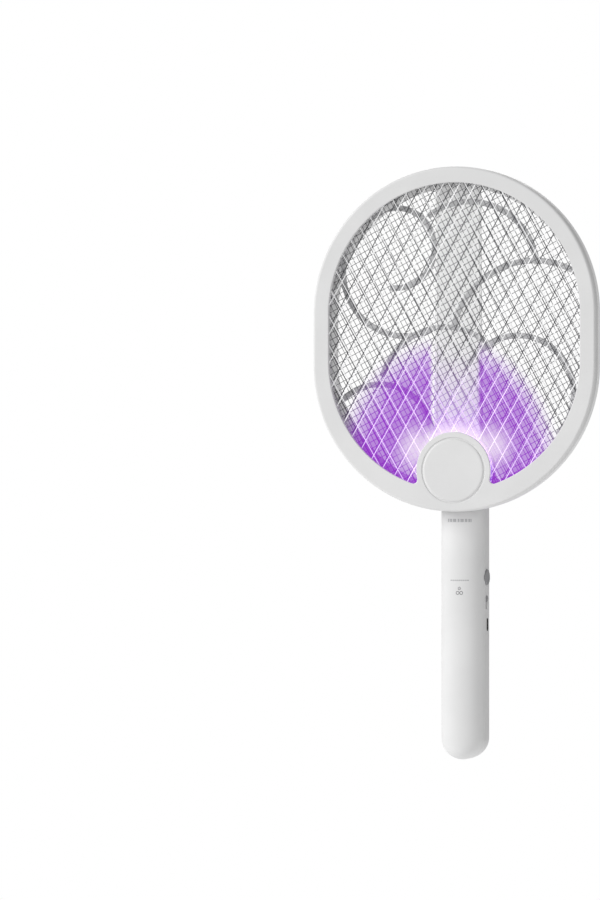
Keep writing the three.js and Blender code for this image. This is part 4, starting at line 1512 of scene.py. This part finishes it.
@dataclass
class Controls:
    """The button and the slide switch's knob, in millimetres."""

    button_radius: float = 5.5
    flange_faces: Point = (13.4, 12.2)
    stem_radius: float = 1.8
    plate: Point = (2.6, 8.2)
    plate_top: float = 13.4
    knob_foot: float = 12.6
    knob_size: Point = (1.6, 2.3)
    ridge_pitch: float = 0.8
    ridge_stand: float = 0.9

    def build(self) -> None:
        """Builds and dresses both."""
        grey = FINISHES["control_grey"].make()
        settle(self.button(), Body.BUTTON, "control_grey", grey, "zap_button")
        settle(self.knob(), Body.SLIDER, "control_grey", grey, "mode_slider")

    def button(self) -> bpy.types.Object:
        """A round button with a dished face inside a raised ring, a flange and a stem.

        Returns:
            The piece.
        """
        low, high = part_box("zap_button")
        middle = (low + high) / 2 / MM
        top, end = high.x / MM, low.x / MM
        flange = (high.z - low.z) / 2 / MM
        profile = [(0, -0.45), (2.4, -0.4), (3.3, -0.25), (3.7, -0.05)]
        wide, stem = self.button_radius, self.stem_radius
        upper, lower = (face - top for face in self.flange_faces)
        profile += [(4.1, 0), (4.9, 0), (wide - 0.2, -0.15), (wide, -0.5)]
        profile += [(wide, upper), (flange, upper), (flange, lower), (stem, lower)]
        profile += [(stem, end - top), (0, end - top)]
        mesh = bmesh.new()
        lathe(mesh, profile, facing_right(top, middle.y, middle.z), 72)
        piece = finished("press_button", mesh, 30.0)
        even_normals(piece)
        return piece

    def knob(self) -> bpy.types.Object:
        """A slide plate with a knob that has five thumb ridges.

        Returns:
            The piece.
        """
        low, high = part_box("mode_slider")
        middle = (low + high) / 2 / MM
        y, z, top = middle.y, middle.z, high.x / MM - self.ridge_stand
        mesh = bmesh.new()
        self.add_block(mesh, (low.x / MM, self.plate_top), y, z, *self.plate, 0.4)
        self.add_block(mesh, (self.knob_foot, top), y, z, *self.knob_size, 1.4)
        for i in range(-2, 3):
            centre = Vector((top - 0.05, y, z + self.ridge_pitch * i))
            add_ridge(mesh, centre, 1.25 - 0.1 * abs(i), 0.85 - 0.12 * abs(i))
        piece = finished("slide_knob", mesh, 35.0)
        even_normals(piece)
        return piece

    def add_block(
        self,
        mesh: bmesh.types.BMesh,
        span: Point,
        y: float,
        z: float,
        half: float,
        long_half: float,
        corner: float,
    ) -> None:
        """Adds a block with round corners that reaches along X.

        Args:
            mesh: the mesh to add to.
            span: where it starts and ends along X.
            y, z: its middle.
            half, long_half: half its width and half its length.
            corner: its corner radius.
        """
        loops = []
        for inset, x in edge_profile(span[1], span[0], 0.25, 0.1, 3):
            r = max(corner - inset, 0.05)
            a, b = half - inset - r, long_half - inset - r
            loop = []
            for quarter, (u, v) in enumerate(((a, b), (-a, b), (-a, -b), (a, -b))):
                start = quarter * math.pi / 2
                loop += arc(y + u, z + v, r, start, start + math.pi / 2, 6)
            loops.append([Vector((x, c, d)) for c, d in loop])
        made = loft(mesh, loops)
        mesh.faces.new(made[0])
        mesh.faces.new(made[-1])


def add_ridge(mesh: bmesh.types.BMesh, centre: Vector, half: float, height: float) -> None:
    """Adds a low rounded ridge across the knob's face.

    Args:
        mesh: the mesh to add to.
        centre: the middle of its foot.
        half: half its length.
        height: how far it stands out.
    """
    section = arc(0, 0, 1, 0, math.pi, 8)
    rings = []
    for t in (-1.0, -0.9, -0.6, 0.0, 0.6, 0.9, 1.0):
        tall = height * math.sqrt(max(1 - t * t, 0.01))
        rings.append([centre + Vector((s * tall - 0.1, t * half, c * 0.28)) for c, s in section])
    made = loft(mesh, rings)
    mesh.faces.new(made[0])
    mesh.faces.new(made[-1])


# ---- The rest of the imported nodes, and the studio ------------------------------------------------


def dress_packed_nodes() -> None:
    """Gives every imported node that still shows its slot's finish and smooth shading."""
    slots = {entry["node"]: entry["material_slot"] for entry in frame["record"]["subparts"]}
    made: dict[str, bpy.types.Material] = {}
    for name, node in frame["nodes"].items():
        if node.hide_render:
            continue
        slot = slots[name]
        finish = OWN_FINISHES.get(name, FINISHES[slot])
        if finish.name not in made:
            made[finish.name] = finish.make()
        node.data.materials.clear()
        node.data.materials.append(made[finish.name])
        node.data.shade_smooth()
        node.data.set_sharp_from_angle(angle=math.radians(35))
        LOG.info("%s dressed as %s", name, slot)


@dataclass
class Studio:
    """White surroundings, a pale floor, soft light and the camera, in metres.

    At the object the camera sees seen_height from top to bottom, with the object aside from the middle.
    """

    yaw_degrees: float = 16.0
    distance: float = 4.0
    seen_height: float = 0.64516
    aside: float = 0.11183
    sensor: float = 36.0
    centre_z: float = 0.1396
    floor_z: float = -0.45
    floor_radii: tuple[float, float] = (1.0, 2.8)
    world_seen: float = 1.0
    world_light: float = 0.36

    def build(self) -> None:
        """Builds the whole studio."""
        bpy.context.scene.view_settings.view_transform = "Standard"
        self.surroundings()
        self.floor()
        self.light("key", (-5.1, -3.3, 2.8), 3.1, 288.0)
        self.light("fill", (1.0, -2.7, 0.9), 1.2, 10.0)
        self.light("back", (-0.6, 1.6, 1.0), 1.4, 10.0)
        self.camera()

    def surroundings(self) -> None:
        """A white world that shows as plain white and lights a little less."""
        world = bpy.data.worlds.new("white")
        bpy.context.scene.world = world
        world.use_nodes = True
        sky = Tree(world.node_tree)
        white = (1, 1, 1, 1)
        seen = sky.add("ShaderNodeBackground", {}, {"Color": white, "Strength": self.world_seen})
        lit = sky.add("ShaderNodeBackground", {}, {"Color": white, "Strength": self.world_light})
        camera_ray = sky.add("ShaderNodeLightPath", {}, {}, "Is Camera Ray")
        both = sky.add("ShaderNodeMixShader", {}, {0: camera_ray, 1: lit, 2: seen})
        sky.tree.links.new(both.socket, sky.tree.nodes["World Output"].inputs["Surface"])

    def floor(self) -> None:
        """A plain pale round floor well below the object."""
        mesh = bmesh.new()
        circles = [arc(0, 0, radius / MM, 0, 2 * math.pi, 96)[:-1] for radius in self.floor_radii]
        made = loft(mesh, [[Vector((x, y, 0)) for x, y in circle] for circle in circles])
        mesh.faces.new(made[0])
        floor = finished("floor", mesh)
        floor.location.z = self.floor_z
        floor.data.materials.append(PaleFloor("pale_floor").make())

    def light(self, name: str, place: tuple[float, float, float], size: float, power: float) -> None:
        """Adds one square soft light that points at the object.

        Args:
            name: the light's name.
            place: where it stands.
            size: its side.
            power: its power in watts.
        """
        data = bpy.data.lights.new(name, "AREA")
        data.shape, data.size, data.energy = "SQUARE", size, power
        lamp = bpy.data.objects.new(name, data)
        lamp.location = place
        aim = Vector((0, 0, self.centre_z)) - Vector(place)
        lamp.rotation_euler = aim.to_track_quat("-Z", "Y").to_euler()
        bpy.context.scene.collection.objects.link(lamp)

    def camera(self) -> None:
        """A long lens, level, a little to the object's right, which it keeps on the right of its frame."""
        yaw = math.radians(self.yaw_degrees)
        data = bpy.data.cameras.new("camera")
        data.sensor_width = self.sensor
        data.lens = self.sensor * self.distance / self.seen_height
        camera = bpy.data.objects.new("camera", data)
        target = Vector((0, -0.0217, self.centre_z))
        camera.location = target + self.distance * Vector((math.sin(yaw), -math.cos(yaw), 0))
        pan = math.atan(self.aside / self.distance)
        camera.rotation_euler = (math.pi / 2, 0, yaw + pan)
        bpy.context.scene.collection.objects.link(camera)
        bpy.context.scene.camera = camera


def main() -> None:
    """Builds every piece in order, then the studio."""
    logging.basicConfig(level=logging.INFO, format="%(name)s: %(message)s")
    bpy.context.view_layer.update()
    Studio().build()
    shape = HeadShape()
    Head(shape).build()
    Net("front_safety_net", (60, 120), (10.4, 10.4), 0.31).build(shape, PAINTED_LIGHT_FRONT_WIRE)
    Net("high_voltage_net", (28, 118), (4.4, 3.4), 0.23).build(shape, FINISHES["net_wire"])
    Net("rear_safety_net", (61, 119), (10.4, 10.4), 0.33, (0.5, 0.4)).build(shape, PAINTED_SHADE_REAR_WIRE)
    LampGlow().build(shape)
    Handle().build()
    Controls().build()
    dress_packed_nodes()


if __name__ == "__main__":
    main()
